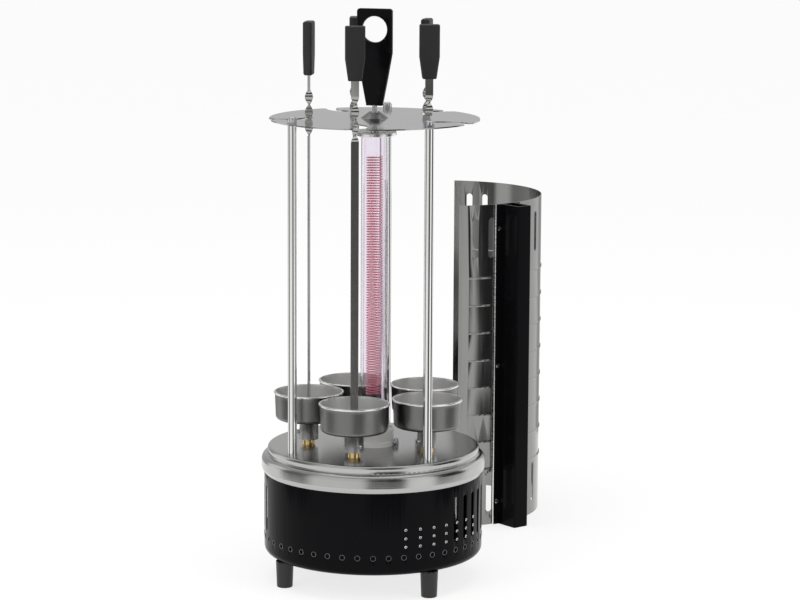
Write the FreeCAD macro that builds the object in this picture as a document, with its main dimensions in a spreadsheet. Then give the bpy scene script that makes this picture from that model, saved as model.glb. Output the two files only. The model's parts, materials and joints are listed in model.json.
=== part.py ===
"""Upright electric skewer grill.

Five skewers stand round a quartz heater and turn above drip cups. A gear motor in the drum drives one
large gear, which turns a spindle under each cup. A half-round steel reflector stands behind the grill.
The origin is on the table at the grill's axis, +Z up and the front towards -Y. Lengths are millimetres.
"""

import FreeCAD, Part

import math
import os

import Sketcher
from FreeCAD import Placement, Rotation, Vector

SIZES = (
    # drum
    ("foot_height", 27.0, "table to the drum's floor"),
    ("foot_top_radius", 9.0, "foot where it meets the drum"),
    ("foot_tip_radius", 8.0, "foot at the table"),
    ("foot_edge", 1.2, "rounding of the foot at the table"),
    ("foot_circle", 100.8, "drum axis to a foot's axis"),
    ("foot_front_left", 207.5, "bearing of the front left foot"),
    ("foot_front_right", 304.0, "bearing of the front right foot"),
    ("foot_rear", 82.0, "bearing of the rear foot"),
    ("drum_radius", 111.6, "outside of the drum"),
    ("drum_height", 102.0, "drum from its floor to its top rim"),
    ("drum_sheet", 1.0, "sheet of the drum"),
    ("drum_corner", 8.0, "outside rounding at the drum's floor"),
    ("drum_draw", 2.0, "drum's draw inwards under the lid's skirt"),
    ("drum_shoulder", 2.0, "outside rounding at the drum's top rim"),
    ("drum_floor_rim", 18.0, "width of the floor turned inwards"),
    ("drum_top_rim", 9.0, "width of the top rim turned inwards"),
    ("port_count", 45, "round air ports in the row round the drum"),
    ("port_radius", 2.9, "round air port"),
    ("port_level", 19.0, "drum's floor to the round air ports"),
    ("vent_width", 6.0, "width of an upright vent"),
    ("vent_height", 46.0, "height of an upright vent"),
    ("vent_level", 50.0, "drum's floor to the middle of the vents"),
    ("vent_pitch", 8.0, "angle between neighbouring vents and hole columns"),
    ("vent_rows", 7, "vents in each of the two fields"),
    ("left_vents", 100.0, "front to the left field's middle, clockwise"),
    ("right_vents", 72.0, "front to the right field's middle, counter-clockwise"),
    ("hole_radius", 1.5, "small vent hole"),
    ("hole_step", 8.6, "small vent holes, row to row"),
    ("hole_level", 29.5, "drum's floor to the lowest row of holes"),
    ("hole_columns", 7, "columns of small holes"),
    ("hole_start", 17.0, "front to the first column of holes"),
    ("floor_sheet", 1.5, "sheet of the base plate"),
    ("floor_gap", 0.6, "base plate's edge to the drum's wall"),
    ("floor_slot_width", 4.0, "air slot in the base plate"),
    ("floor_slot_length", 26.0, "length of an air slot"),
    ("floor_slot_circle", 46.0, "axis to the middle of an air slot"),
    ("floor_slots", 12, "air slots in the base plate"),
    # lid
    ("lid_sheet", 1.2, "sheet of the lid"),
    ("lid_radius", 108.6, "flat top of the lid"),
    ("lid_edge", 3.0, "outside rounding of the lid's top edge"),
    ("lid_neck", 107.3, "lid's neck under the top edge"),
    ("lid_rise", 9.4, "drum's top rim to the lid's top"),
    ("lid_bead", 114.3, "crown of the lid's bead"),
    ("lid_bead_round", 6.0, "outside rounding of the bead"),
    ("lid_skirt", 17.2, "skirt that hangs over the drum"),
    ("lid_skirt_draw", 2.7, "skirt's draw inwards at its lower edge"),
    ("lid_lip", 4.4, "height of the skirt's drawn-in edge"),
    ("lid_lip_round", 3.5, "outside rounding where the bead turns in to the lip"),
    ("lid_seam", 0.4, "skirt's edge to the drum's shoulder"),
    # posts and top plate
    ("post_radius", 4.5, "post"),
    ("post_length", 333.3, "post between the lid and the top plate"),
    ("post_circle", 96.6, "axis to a post"),
    ("post_front_left", 212.5, "bearing of the front left post"),
    ("post_front_right", 303.9, "bearing of the front right post"),
    ("post_rear", 82.1, "bearing of the rear post"),
    ("stud_radius", 2.5, "threaded end of a post"),
    ("stud_length", 5.2, "threaded end beyond the sheet it clamps"),
    ("bolt_play", 0.2, "radial play of a bolt in its hole"),
    ("nut_flats", 8.0, "hexagon across flats"),
    ("nut_height", 4.4, "height of a hexagon"),
    ("nut_cap", 2.0, "height of a cap nut's dome"),
    ("plate_radius", 106.0, "top plate"),
    ("plate_sheet", 1.2, "sheet of the top plate"),
    ("plate_corner", 3.5, "rounding of the lobes beside a slot's mouth"),
    ("boss_radius", 14.0, "foot of the pressed boss in the plate"),
    ("boss_top", 6.0, "top of the pressed boss"),
    ("boss_rise", 6.0, "height of the pressed boss"),
    ("hook_width", 9.6, "width of a skewer slot"),
    ("hook_sweep", 27.6, "radius of a slot's centre line"),
    ("hook_turn", 27.9, "seat's outward radius to the slot's centre, clockwise"),
    ("hook_reach", 117.0, "angle of the slot about its centre"),
    # carry handle
    ("paddle_width", 36.2, "carry handle across its grip"),
    ("paddle_thick", 6.0, "carry handle's thickness"),
    ("paddle_height", 97.2, "carry handle"),
    ("paddle_waist", 27.0, "carry handle where its foot begins"),
    ("paddle_foot", 16.4, "carry handle's width at its foot"),
    ("paddle_foot_height", 27.0, "height of the tapered foot"),
    ("paddle_grip_height", 44.0, "height of the straight grip"),
    ("paddle_bend", 24.0, "rounding of the handle's slanting sides"),
    ("paddle_corner", 3.0, "rounding of the grip's top corners"),
    ("paddle_hole", 13.1, "finger hole"),
    ("paddle_hole_drop", 20.7, "handle's top to the finger hole's centre"),
    ("paddle_edge", 0.8, "bevel round the handle"),
    ("paddle_lift", 5.2, "washer to the handle's foot"),
    ("paddle_yaw", 15.0, "handle's turn, clockwise from the front"),
    ("handle_stud_radius", 2.6, "stud that carries the handle"),
    ("handle_stud_bite", 14.0, "stud inside the handle"),
    ("washer_radius", 6.0, "washer under the handle"),
    ("washer_thick", 1.4, "washer's thickness"),
    # heater
    ("disc_radius", 22.4, "disc above the heater"),
    ("disc_sheet", 1.4, "disc's sheet"),
    ("disc_lip", 4.0, "disc's turned-down lip"),
    ("disc_edge", 2.1, "outside rounding of the disc's edge"),
    ("disc_drop", 11.5, "top plate's underside to the disc"),
    ("spacer_radius", 5.0, "spacer between the plate and the disc"),
    ("cap_radius", 15.4, "ceramic cap of the heater tube"),
    ("cap_height", 4.5, "ceramic cap's height"),
    ("cap_crown", 2.0, "solid crown of the ceramic cap"),
    ("tube_radius", 13.5, "quartz tube"),
    ("tube_wall", 1.5, "quartz tube's wall"),
    ("tube_seat", 5.0, "quartz tube inside its socket"),
    ("coil_wire", 1.1, "thickness of the coil's winding"),
    ("coil_foot_gap", 33.0, "socket to the coil"),
    ("coil_head_gap", 17.3, "ceramic cap to the coil"),
    ("lead_bore", 6.0, "passage for the heater's leads"),
    ("socket_radius", 20.5, "ceramic socket"),
    ("socket_height", 18.0, "ceramic socket above the lid"),
    ("socket_edge", 2.0, "socket's top rounding"),
    ("spigot_radius", 13.0, "socket's spigot through the lid"),
    ("spigot_depth", 34.0, "spigot below the lid"),
    ("clamp_radius", 22.0, "steel ring round the socket's foot"),
    ("clamp_height", 4.0, "height of the steel ring"),
    # drip cups
    ("cup_radius", 34.7, "drip cup at its rim"),
    ("cup_floor_radius", 33.7, "drip cup at its floor"),
    ("cup_height", 28.8, "drip cup"),
    ("cup_sheet", 0.9, "drip cup's sheet"),
    ("cup_corner", 4.0, "outside rounding at the cup's floor"),
    ("cup_roll", 0.9, "rolled rim beyond the wall"),
    ("cup_level", 26.4, "lid's top to the cup's floor"),
    ("stem_radius", 9.75, "cup's stem"),
    ("stem_gap", 5.5, "lid's top to the stem"),
    # drive
    ("skewer_circle", 66.0, "axis to a skewer"),
    ("skewer_start", 253.0, "bearing of the front skewer"),
    ("skewer_count", 5, "skewers"),
    ("spindle_radius", 5.0, "spindle"),
    ("spindle_grip", 13.0, "spindle inside the cup's stem"),
    ("spindle_tail", 6.0, "spindle below the gear plate"),
    ("bush_radius", 6.4, "brass bush"),
    ("bush_flange", 8.6, "bush's flange under the lid"),
    ("bush_rise", 5.2, "bush above the lid"),
    ("bush_depth", 4.0, "bush's flange below the lid"),
    ("running_play", 0.06, "radial play of a running fit"),
    ("gear_module", 2.0, "module of the gears"),
    ("drive_teeth", 45, "teeth of the drive gear"),
    ("spindle_teeth", 21, "teeth of a spindle gear"),
    ("pinion_teeth", 12, "teeth of the motor's pinion"),
    ("tooth_play", 0.14, "each tooth's flank, thinned"),
    ("gear_width", 8.0, "face width of the gears"),
    ("gear_drop", 10.0, "lid's underside to the gears"),
    ("gear_web", 3.0, "web of the drive gear"),
    ("gear_rim", 8.0, "drive gear's rim below the teeth"),
    ("gear_hub", 28.0, "drive gear's hub"),
    ("spindle_hub", 10.0, "spindle gear's hub"),
    ("gear_clear", 0.5, "gear to the face below it"),
    ("carrier_radius", 92.0, "gear plate"),
    ("carrier_sheet", 2.0, "gear plate's thickness"),
    ("carrier_drop", 24.0, "lid's underside to the gear plate's top"),
    ("hub_radius", 19.0, "fixed sleeve that the drive gear turns on"),
    ("hub_bore", 15.0, "bore of the fixed sleeve"),
    ("hub_flange", 25.0, "sleeve's flange on the gear plate"),
    ("hub_flange_thick", 4.0, "flange of the sleeve"),
    ("pillar_radius", 4.0, "pillar between the lid and the gear plate"),
    ("pillar_circle", 84.0, "axis to a pillar"),
    ("bolt_radius", 2.0, "long bolt"),
    ("bolt_bite", 12.0, "long bolt inside its pillar"),
    ("bolt_head_radius", 4.0, "bolt's head"),
    ("bolt_head", 2.6, "height of the bolt's head"),
    ("motor_radius", 25.0, "gear motor"),
    ("motor_height", 22.0, "gear motor's can"),
    ("motor_offset", 10.0, "motor's shaft from its can's axis"),
    ("motor_shaft", 3.0, "motor's shaft"),
    ("motor_shaft_tail", 7.3, "motor's shaft inside its can"),
    ("motor_boss", 6.0, "bearing boss round the motor's shaft"),
    ("motor_flange", 2.0, "motor's mounting flange"),
    ("motor_ear", 5.0, "motor's screw ear"),
    ("terminal_length", 34.0, "terminal block"),
    ("terminal_depth", 16.0, "terminal block"),
    ("terminal_height", 13.0, "terminal block"),
    ("terminal_circle", 62.0, "axis to the terminal block"),
    ("terminal_pitch", 11.3, "screw well to screw well"),
    ("terminal_well", 3.2, "radius of a screw well"),
    ("gland_radius", 8.0, "cord gland's flange"),
    ("gland_neck", 5.5, "cord gland in the drum's wall"),
    ("gland_bore", 3.6, "cord gland's bore"),
    ("gland_out", 6.0, "cord gland outside the drum"),
    ("gland_in", 7.0, "cord gland inside the drum"),
    ("gland_level", 34.0, "drum's floor to the cord gland"),
    # skewers
    ("blade_width", 8.0, "skewer blade"),
    ("blade_thick", 1.5, "skewer blade"),
    ("blade_point", 6.0, "length of the skewer's point"),
    ("blade_play", 0.3, "blade's play in the cup's slot"),
    ("blade_rest_gap", 0.3, "skewer's point to the spindle's end"),
    ("twist_below", 17.0, "twist below the top plate"),
    ("twist_length", 46.0, "length of the twist"),
    ("twist_turn", 540.0, "turn of the twist"),
    ("blade_above", 43.1, "top plate to the skewer's handle"),
    ("blade_bite", 30.0, "blade inside the handle"),
    ("grip_width", 20.0, "skewer handle"),
    ("grip_thick", 9.0, "skewer handle"),
    ("grip_height", 54.0, "skewer handle"),
    ("grip_taper", 22.0, "skewer handle's tapered lower part"),
    ("grip_foot", 13.7, "skewer handle's width at its foot"),
    ("grip_edge", 1.4, "bevel along the skewer handle"),
    # reflector
    ("shell_radius", 108.4, "outside of the reflector"),
    ("shell_sheet", 0.8, "sheet of the reflector"),
    ("shell_height", 355.8, "reflector"),
    ("shell_span", 165.0, "angle that the reflector spans"),
    ("shell_place_x", 78.0, "reflector's axis, to the right"),
    ("shell_place_y", 315.2, "reflector's axis, to the rear"),
    ("hem_width", 11.0, "hem along each upright edge"),
    ("hem_thick", 0.5, "hem, folded onto the sheet"),
    ("rib_count", 8, "ribs round the reflector"),
    ("rib_width", 3.2, "rib"),
    ("rib_crest", 1.6, "rib's flat crest"),
    ("rib_rise", 0.9, "rib's height"),
    ("rib_first", 63.0, "table to the lowest rib"),
    ("rib_pitch", 30.4, "rib to rib"),
    ("slit_width", 7.0, "vent slit"),
    ("slit_height", 44.0, "vent slit"),
    ("slit_inset", 36.5, "reflector's edge to the slits' middle"),
    ("slit_near_edge", 73.0, "bearing of the slit nearest an upright edge"),
    ("slit_second", 63.0, "bearing of the second slit"),
    ("slit_beside_strip", 23.0, "bearing of the slit beside the handle strip"),
    ("strip_bearing", 52.0, "bearing of the handle strip, clockwise"),
    ("strip_width", 19.0, "handle strip"),
    ("strip_depth", 28.0, "handle strip"),
    ("strip_wall", 1.6, "handle strip's wall"),
    ("strip_flange", 7.0, "handle strip's flange on the reflector"),
    ("rivet_radius", 2.4, "rivet's head"),
    ("rivet_head", 1.2, "rivet's head"),
    ("rivet_shank", 1.2, "rivet's shank"),
    ("rivet_rows", 3, "rivets down each flange"),
    ("rivet_inset", 26.0, "reflector's edge to the first rivet"),
)

SHEET = "Sizes"
PRESSURE_ANGLE = math.radians(20.0)
DEDENDUM = 1.25
FLANK_FOOT = 0.3
GAP_MOUTH = 1.5
SLOT_ROUNDING = 0.49
DOME_ROUNDING = 0.95

doc = FreeCAD.newDocument("skewer_grill")


class Size:
    """A size with its value and the expression of sheet cells that gives it."""

    def __init__(self, value, text):
        self.value = value
        self.text = text

    def joined(self, sign, other, value):
        """Joins two sizes with an arithmetic sign."""
        return Size(value, f"({self.text} {sign} {sized(other).text})")

    def __add__(self, other):
        return self.joined("+", other, self.value + sized(other).value)

    def __sub__(self, other):
        return self.joined("-", other, self.value - sized(other).value)

    def __mul__(self, other):
        return self.joined("*", other, self.value * sized(other).value)

    def __truediv__(self, other):
        return self.joined("/", other, self.value / sized(other).value)

    def __neg__(self):
        return self * -1


def sized(number):
    """Gives a plain number as a size."""
    if isinstance(number, Size):
        return number
    return Size(float(number), repr(float(number)))


def cosine(angle):
    """Cosine of an angle in degrees."""
    return Size(math.cos(math.radians(angle.value)), f"cos({angle.text})")


def sine(angle):
    """Sine of an angle in degrees."""
    return Size(math.sin(math.radians(angle.value)), f"sin({angle.text})")


class SizeSheet:
    """The document's spreadsheet, read as sizes by their aliases."""

    def __init__(self, rows):
        self.page = doc.addObject("Spreadsheet::Sheet", SHEET)
        self.cells = {}
        for number, (alias, value, note) in enumerate(rows, start=1):
            self.page.set(f"A{number}", alias)
            self.page.set(f"B{number}", str(value))
            self.page.set(f"C{number}", note)
            self.page.setAlias(f"B{number}", alias)
            self.cells[alias] = Size(float(value), f"{SHEET}.{alias}")
        doc.recompute()

    def __getattr__(self, alias):
        return self.cells[alias]


size = SizeSheet(SIZES)

# Levels above the table and other places that several pieces share.
drum_floor = size.foot_height
drum_top = drum_floor + size.drum_height
lid_top = drum_top + size.lid_rise
lid_under = lid_top - size.lid_sheet
skirt_end = drum_top - size.lid_skirt
plate_under = lid_top + size.post_length
plate_top = plate_under + size.plate_sheet
boss_level = plate_top + size.boss_rise
washer_top = boss_level + size.washer_thick
paddle_bottom = washer_top + size.paddle_lift
disc_top = plate_under - size.disc_drop
cap_top = disc_top - size.disc_sheet
cap_bottom = cap_top - size.cap_height
socket_top = lid_top + size.socket_height
tube_bottom = socket_top - size.tube_seat
tube_top = cap_top - size.cap_crown
coil_bottom = socket_top + size.coil_foot_gap
coil_top = cap_bottom - size.coil_head_gap
cup_floor = lid_top + size.cup_level
cup_top = cup_floor + size.cup_height
stem_bottom = lid_top + size.stem_gap
spindle_top = stem_bottom + size.spindle_grip
gear_top = lid_under - size.gear_drop
gear_bottom = gear_top - size.gear_width
carrier_top = lid_under - size.carrier_drop
carrier_bottom = carrier_top - size.carrier_sheet
floor_top = drum_floor + size.drum_sheet + size.floor_sheet
blade_bottom = spindle_top + size.blade_rest_gap
twist_bottom = plate_under - size.twist_below
grip_bottom = plate_top + size.blade_above
drive_pitch = size.gear_module * size.drive_teeth / 2
spindle_pitch = size.gear_module * size.spindle_teeth / 2
pinion_pitch = size.gear_module * size.pinion_teeth / 2
pinion_circle = drive_pitch + pinion_pitch
station_pitch = Size(360.0, "360") / size.skewer_count
flange_seat = size.shell_radius + size.rib_rise
flange_out = flange_seat + size.strip_wall


# Helpers


def bind(target, **sizes):
    """Ties properties of an object to the sheet."""
    for name, value in sizes.items():
        target.setExpression(name.replace("__", "."), sized(value).text)


def place(target, x=0.0, y=0.0, z=0.0, turn=0.0):
    """Places an object, turned about the upright axis."""
    target.Placement = Placement(Vector(0, 0, 0), Rotation(Vector(0, 0, 1), 1.0))
    bind(target, Placement__Base__x=x, Placement__Base__y=y, Placement__Base__z=z)
    bind(target, Placement__Rotation__Angle=turn)


def place_at(target, radius, bearing, turn=0.0, x=0.0, y=0.0):
    """Places an object at a radius and bearing about the grill's axis, or about another one."""
    place(target, radius * cosine(bearing) + x, radius * sine(bearing) + y, 0.0, turn)


def new_body(label):
    """Starts a sub-part."""
    body = doc.addObject("PartDesign::Body", label)
    body.Label = label
    return body


def origin_feature(body, role):
    """Finds one of a body's own origin planes or axes."""
    return next(feature for feature in body.Origin.OriginFeatures if feature.Role == role)


def new_sketch(body, name, role, lift=0.0, swing=None):
    """Starts a sketch on an origin plane, lifted off it and, if upright, swung about the upright axis."""
    sketch = body.newObject("Sketcher::SketchObject", name)
    sketch.AttachmentSupport = [(origin_feature(body, role), "")]
    sketch.MapMode = "FlatFace"
    if swing is None:
        bind(sketch, AttachmentOffset__Base__z=lift)
        return sketch
    sketch.AttachmentOffset = Placement(Vector(0, 0, 0), Rotation(Vector(0, 1, 0), 1.0))
    bind(sketch, AttachmentOffset__Base__x=sized(lift) * sine(swing))
    bind(sketch, AttachmentOffset__Base__z=sized(lift) * cosine(swing))
    bind(sketch, AttachmentOffset__Rotation__Angle=swing)
    return sketch


def fix(sketch, kind, value, *places):
    """Adds one constraint of a sketch, tied to the sheet."""
    number = sketch.addConstraint(Sketcher.Constraint(kind, *places, value.value))
    sketch.setExpression(f"Constraints[{number}]", value.text)


def pin_point(sketch, geometry, end, x, y):
    """Fixes a point of a sketch at a named place."""
    for kind, axis, value in (("DistanceX", -2, sized(x)), ("DistanceY", -1, sized(y))):
        if abs(value.value) < 1e-9:
            sketch.addConstraint(Sketcher.Constraint("PointOnObject", geometry, end, axis))
            continue
        fix(sketch, kind, value, -1, 1, geometry, end)


def draw_circle(sketch, x, y, radius):
    """Adds a circle."""
    x, y, radius = sized(x), sized(y), sized(radius)
    circle = Part.Circle(Vector(x.value, y.value, 0), Vector(0, 0, 1), radius.value)
    number = sketch.addGeometry(circle, False)
    fix(sketch, "Radius", radius, number)
    pin_point(sketch, number, 3, x, y)


def draw_outline(sketch, *corners):
    """Adds a closed outline of straight runs, each corner given as x, y and perhaps its rounding."""
    points = [Vector(sized(corner[0]).value, sized(corner[1]).value, 0) for corner in corners]
    rounds = [sized(corner[2]) if len(corner) > 2 else None for corner in corners]
    count = len(points)
    arrivals = []
    departures = []
    for number in range(count):
        corner = points[number]
        back = (points[number - 1] - corner).normalize()
        ahead = (points[(number + 1) % count] - corner).normalize()
        if rounds[number] is None:
            arrivals.append(corner)
            departures.append(corner)
            continue
        reach = rounds[number].value / math.tan(back.getAngle(ahead) / 2)
        arrivals.append(corner + back * reach)
        departures.append(corner + ahead * reach)
    lines = []
    for number in range(count):
        run = Part.LineSegment(departures[number], arrivals[(number + 1) % count])
        lines.append(sketch.addGeometry(run, False))
    for number in range(count):
        before = lines[number - 1]
        after = lines[number]
        x, y = corners[number][0], corners[number][1]
        if rounds[number] is None:
            sketch.addConstraint(Sketcher.Constraint("Coincident", before, 2, after, 1))
            pin_point(sketch, after, 1, x, y)
            continue
        start, end = arrivals[number], departures[number]
        middle = (start + end) * 0.5 - points[number]
        radius = rounds[number].value
        centre = points[number] + middle.normalize() * math.hypot(radius, start.distanceToPoint(points[number]))
        first = math.atan2(start.y - centre.y, start.x - centre.x)
        last = math.atan2(end.y - centre.y, end.x - centre.x)
        left_turn = (points[number] - start).cross(end - points[number]).z > 0
        angles = (first, last) if left_turn else (last, first)
        entry, leaving = (1, 2) if left_turn else (2, 1)
        arc = Part.ArcOfCircle(Part.Circle(centre, Vector(0, 0, 1), radius), *angles)
        arc_number = sketch.addGeometry(arc, False)
        helper = sketch.addGeometry(Part.Point(points[number]), True)
        pin_point(sketch, helper, 1, x, y)
        fix(sketch, "Radius", rounds[number], arc_number)
        sketch.addConstraint([
            Sketcher.Constraint("Tangent", before, 2, arc_number, entry),
            Sketcher.Constraint("Tangent", arc_number, leaving, after, 1),
            Sketcher.Constraint("PointOnObject", helper, 1, before),
            Sketcher.Constraint("PointOnObject", helper, 1, after),
        ])


def draw_fixed_outline(sketch, points):
    """Adds a closed outline whose points come from a formula and stay where they are."""
    for number, start in enumerate(points):
        end = points[(number + 1) % len(points)]
        line = sketch.addGeometry(Part.LineSegment(start, end), False)
        sketch.addConstraint(Sketcher.Constraint("Block", line))


def rectangle(width, height, x=0.0, y=0.0):
    """Corners of a rectangle about its middle."""
    half_width, half_height = sized(width) / 2, sized(height) / 2
    x, y = sized(x), sized(y)
    return (
        (x - half_width, y - half_height),
        (x + half_width, y - half_height),
        (x + half_width, y + half_height),
        (x - half_width, y + half_height),
    )


def slot(width, height, x=0.0, y=0.0):
    """Corners of a rectangle whose narrow ends are rounded off."""
    narrow = width if sized(width).value < sized(height).value else height
    return tuple((*corner, narrow * SLOT_ROUNDING) for corner in rectangle(width, height, x, y))


def through(sheet):
    """Depth of a cut that passes a sheet."""
    return sheet * 2


def turned(body, name, *corners, cut=False):
    """Turns an outline of radius and height about the body's upright axis."""
    sketch = new_sketch(body, f"{name}_outline", "XZ_Plane")
    draw_outline(sketch, *corners)
    feature = body.newObject("PartDesign::Groove" if cut else "PartDesign::Revolution", name)
    feature.Profile = sketch
    feature.ReferenceAxis = (sketch, ["V_Axis"])
    feature.Angle = 360.0
    return feature


def ring(body, name, inner, outer, bottom, top, cut=False):
    """Turns a plain ring, or a disc where the inner radius is nothing."""
    corners = ((inner, bottom), (outer, bottom), (outer, top), (inner, top))
    return turned(body, name, *corners, cut=cut)


def padded(body, name, sketch, length, both_ways=False):
    """Thickens a sketch along its normal, or to both sides of it."""
    feature = body.newObject("PartDesign::Pad", name)
    feature.Profile = sketch
    bind(feature, Length=length)
    if both_ways:
        feature.SideType = "Symmetric"
    return feature


def pocketed(body, name, sketch, depth):
    """Cuts a sketch into the body against its normal."""
    feature = body.newObject("PartDesign::Pocket", name)
    feature.Profile = sketch
    bind(feature, Length=depth)
    return feature


def patterned(body, name, feature, count, angle=360.0):
    """Repeats a feature about the body's upright axis."""
    doc.recompute()
    pattern = body.newObject("PartDesign::PolarPattern", name)
    pattern.Originals = [feature]
    pattern.Axis = (origin_feature(body, "Z_Axis"), [""])
    bind(pattern, Angle=angle, Occurrences=count)
    body.Tip = pattern
    doc.recompute()
    return pattern


def raised(body, name, feature, count, pitch):
    """Repeats a feature upwards, from its own level."""
    doc.recompute()
    pattern = body.newObject("PartDesign::LinearPattern", name)
    pattern.Originals = [feature]
    pattern.Direction = (origin_feature(body, "Z_Axis"), [""])
    bind(pattern, Length=(sized(count) - 1) * pitch, Occurrences=count)
    pattern.Refine = False
    body.Tip = pattern
    doc.recompute()
    return pattern


def cluster(label, members):
    """Gathers like solids in one sub-part."""
    for number, member in enumerate(members, start=1):
        member.Label = f"{label}_{number}"
    group = doc.addObject("Part::Compound", label)
    group.Label = label
    group.Links = members
    return group


def post_bearings():
    """Bearings of the three posts."""
    return size.post_front_left, size.post_front_right, size.post_rear


def foot_bearings():
    """Bearings of the three feet."""
    return size.foot_front_left, size.foot_front_right, size.foot_rear


def station_bearing(number):
    """Bearing of one skewer's station."""
    return size.skewer_start + station_pitch * number


def pillar_bearings():
    """Bearings of the three pillars, midway between stations and clear of the motor."""
    return [station_bearing(number) + station_pitch / 2 for number in (0, 1, 3)]


def motor_bearing():
    """Bearing of the motor, midway between the two rear stations."""
    return station_bearing(2) + station_pitch / 2


# Drum and feet


def wall_cut(body, name, swing):
    """Starts an upright sketch just outside the drum's wall and gives the depth that cuts through it."""
    sketch = new_sketch(body, f"{name}_outline", "XZ_Plane", size.drum_radius + size.drum_sheet, swing)
    return sketch, through(size.drum_sheet) + size.drum_sheet


def build_drum():
    """Steel drum: floor and top rim turned inwards, a collar for the lid, and the air openings."""
    body = new_body("lower_housing")
    outer, sheet = size.drum_radius, size.drum_sheet
    floor_edge = outer - size.drum_floor_rim
    collar = outer - size.drum_draw
    rim_edge = collar - size.drum_top_rim
    shoulder = skirt_end - size.lid_seam
    turned(
        body,
        "wall",
        (floor_edge, drum_floor),
        (outer, drum_floor, size.drum_corner),
        (outer, shoulder),
        (collar, shoulder),
        (collar, drum_top, size.drum_shoulder),
        (rim_edge, drum_top),
        (rim_edge, drum_top - sheet),
        (collar - sheet, drum_top - sheet, size.drum_shoulder - sheet),
        (collar - sheet, shoulder - sheet),
        (outer - sheet, shoulder - sheet),
        (outer - sheet, drum_floor + sheet, size.drum_corner - sheet),
        (floor_edge, drum_floor + sheet),
    )
    sketch, depth = wall_cut(body, "port", Size(0.0, "0"))
    draw_circle(sketch, 0.0, drum_floor + size.port_level, size.port_radius)
    port = pocketed(body, "port", sketch, depth)
    patterned(body, "port_row", port, size.port_count)

    half_field = size.vent_pitch * (size.vent_rows - 1) / 2
    for side, middle in (("left", -size.left_vents), ("right", size.right_vents)):
        sketch, depth = wall_cut(body, f"{side}_vent", middle - half_field)
        draw_outline(sketch, *slot(size.vent_width, size.vent_height, 0.0, drum_floor + size.vent_level))
        vent = pocketed(body, f"{side}_vent", sketch, depth)
        patterned(body, f"{side}_vents", vent, size.vent_rows, size.vent_pitch * (size.vent_rows - 1))

    for row in range(3):
        sketch, depth = wall_cut(body, f"hole_{row}", size.hole_start)
        draw_circle(sketch, 0.0, drum_floor + size.hole_level + size.hole_step * row, size.hole_radius)
        hole = pocketed(body, f"hole_{row}", sketch, depth)
        patterned(body, f"holes_{row}", hole, size.hole_columns, size.vent_pitch * (size.hole_columns - 1))

    sketch, depth = wall_cut(body, "gland", Size(180.0, "180"))
    draw_circle(sketch, 0.0, drum_floor + size.gland_level, size.gland_neck)
    pocketed(body, "gland_hole", sketch, depth)
    return body


def build_base_plate():
    """Steel floor of the drum, with air slots and holes for the long bolts."""
    body = new_body("base_plate")
    bottom = drum_floor + size.drum_sheet
    ring(body, "disc", 0.0, size.drum_radius - size.drum_corner - size.floor_gap, bottom, floor_top)
    sketch = new_sketch(body, "bolt_holes_outline", "XY_Plane", floor_top)
    for bearing in pillar_bearings():
        x, y = size.pillar_circle * cosine(bearing), size.pillar_circle * sine(bearing)
        draw_circle(sketch, x, y, size.bolt_radius + size.bolt_play)
    pocketed(body, "bolt_holes", sketch, through(size.floor_sheet))
    sketch = new_sketch(body, "air_slot_outline", "XY_Plane", floor_top)
    draw_outline(sketch, *slot(size.floor_slot_length, size.floor_slot_width, size.floor_slot_circle))
    air_slot = pocketed(body, "air_slot", sketch, through(size.floor_sheet))
    patterned(body, "air_slots", air_slot, size.floor_slots)
    return body


def build_foot(number, bearing):
    """Tapered foot under the drum."""
    body = new_body(f"foot_{number}")
    turned(
        body,
        "cone",
        (0.0, 0.0),
        (size.foot_tip_radius, 0.0, size.foot_edge),
        (size.foot_top_radius, drum_floor),
        (0.0, drum_floor),
    )
    place_at(body, size.foot_circle, bearing)
    return body


def build_gland():
    """Bush that lines the cord's hole in the drum's rear wall."""
    body = new_body("cord_gland")
    inside = size.drum_radius - size.drum_sheet
    steps = (
        ("flange", size.gland_radius, size.drum_radius, size.gland_out),
        ("neck", size.gland_neck, inside - size.gland_in, size.drum_radius - inside + size.gland_in),
    )
    for name, radius, start, length in steps:
        sketch = new_sketch(body, f"{name}_outline", "XZ_Plane", start, Size(180.0, "180"))
        draw_circle(sketch, 0.0, drum_floor + size.gland_level, radius)
        padded(body, name, sketch, length)
    bore_start = size.drum_radius + size.gland_out
    sketch = new_sketch(body, "bore_outline", "XZ_Plane", bore_start, Size(180.0, "180"))
    draw_circle(sketch, 0.0, drum_floor + size.gland_level, size.gland_bore)
    pocketed(body, "bore", sketch, size.gland_out + size.drum_sheet + size.gland_in)
    return body


# Lid, gear plate and what hangs from them


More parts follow.
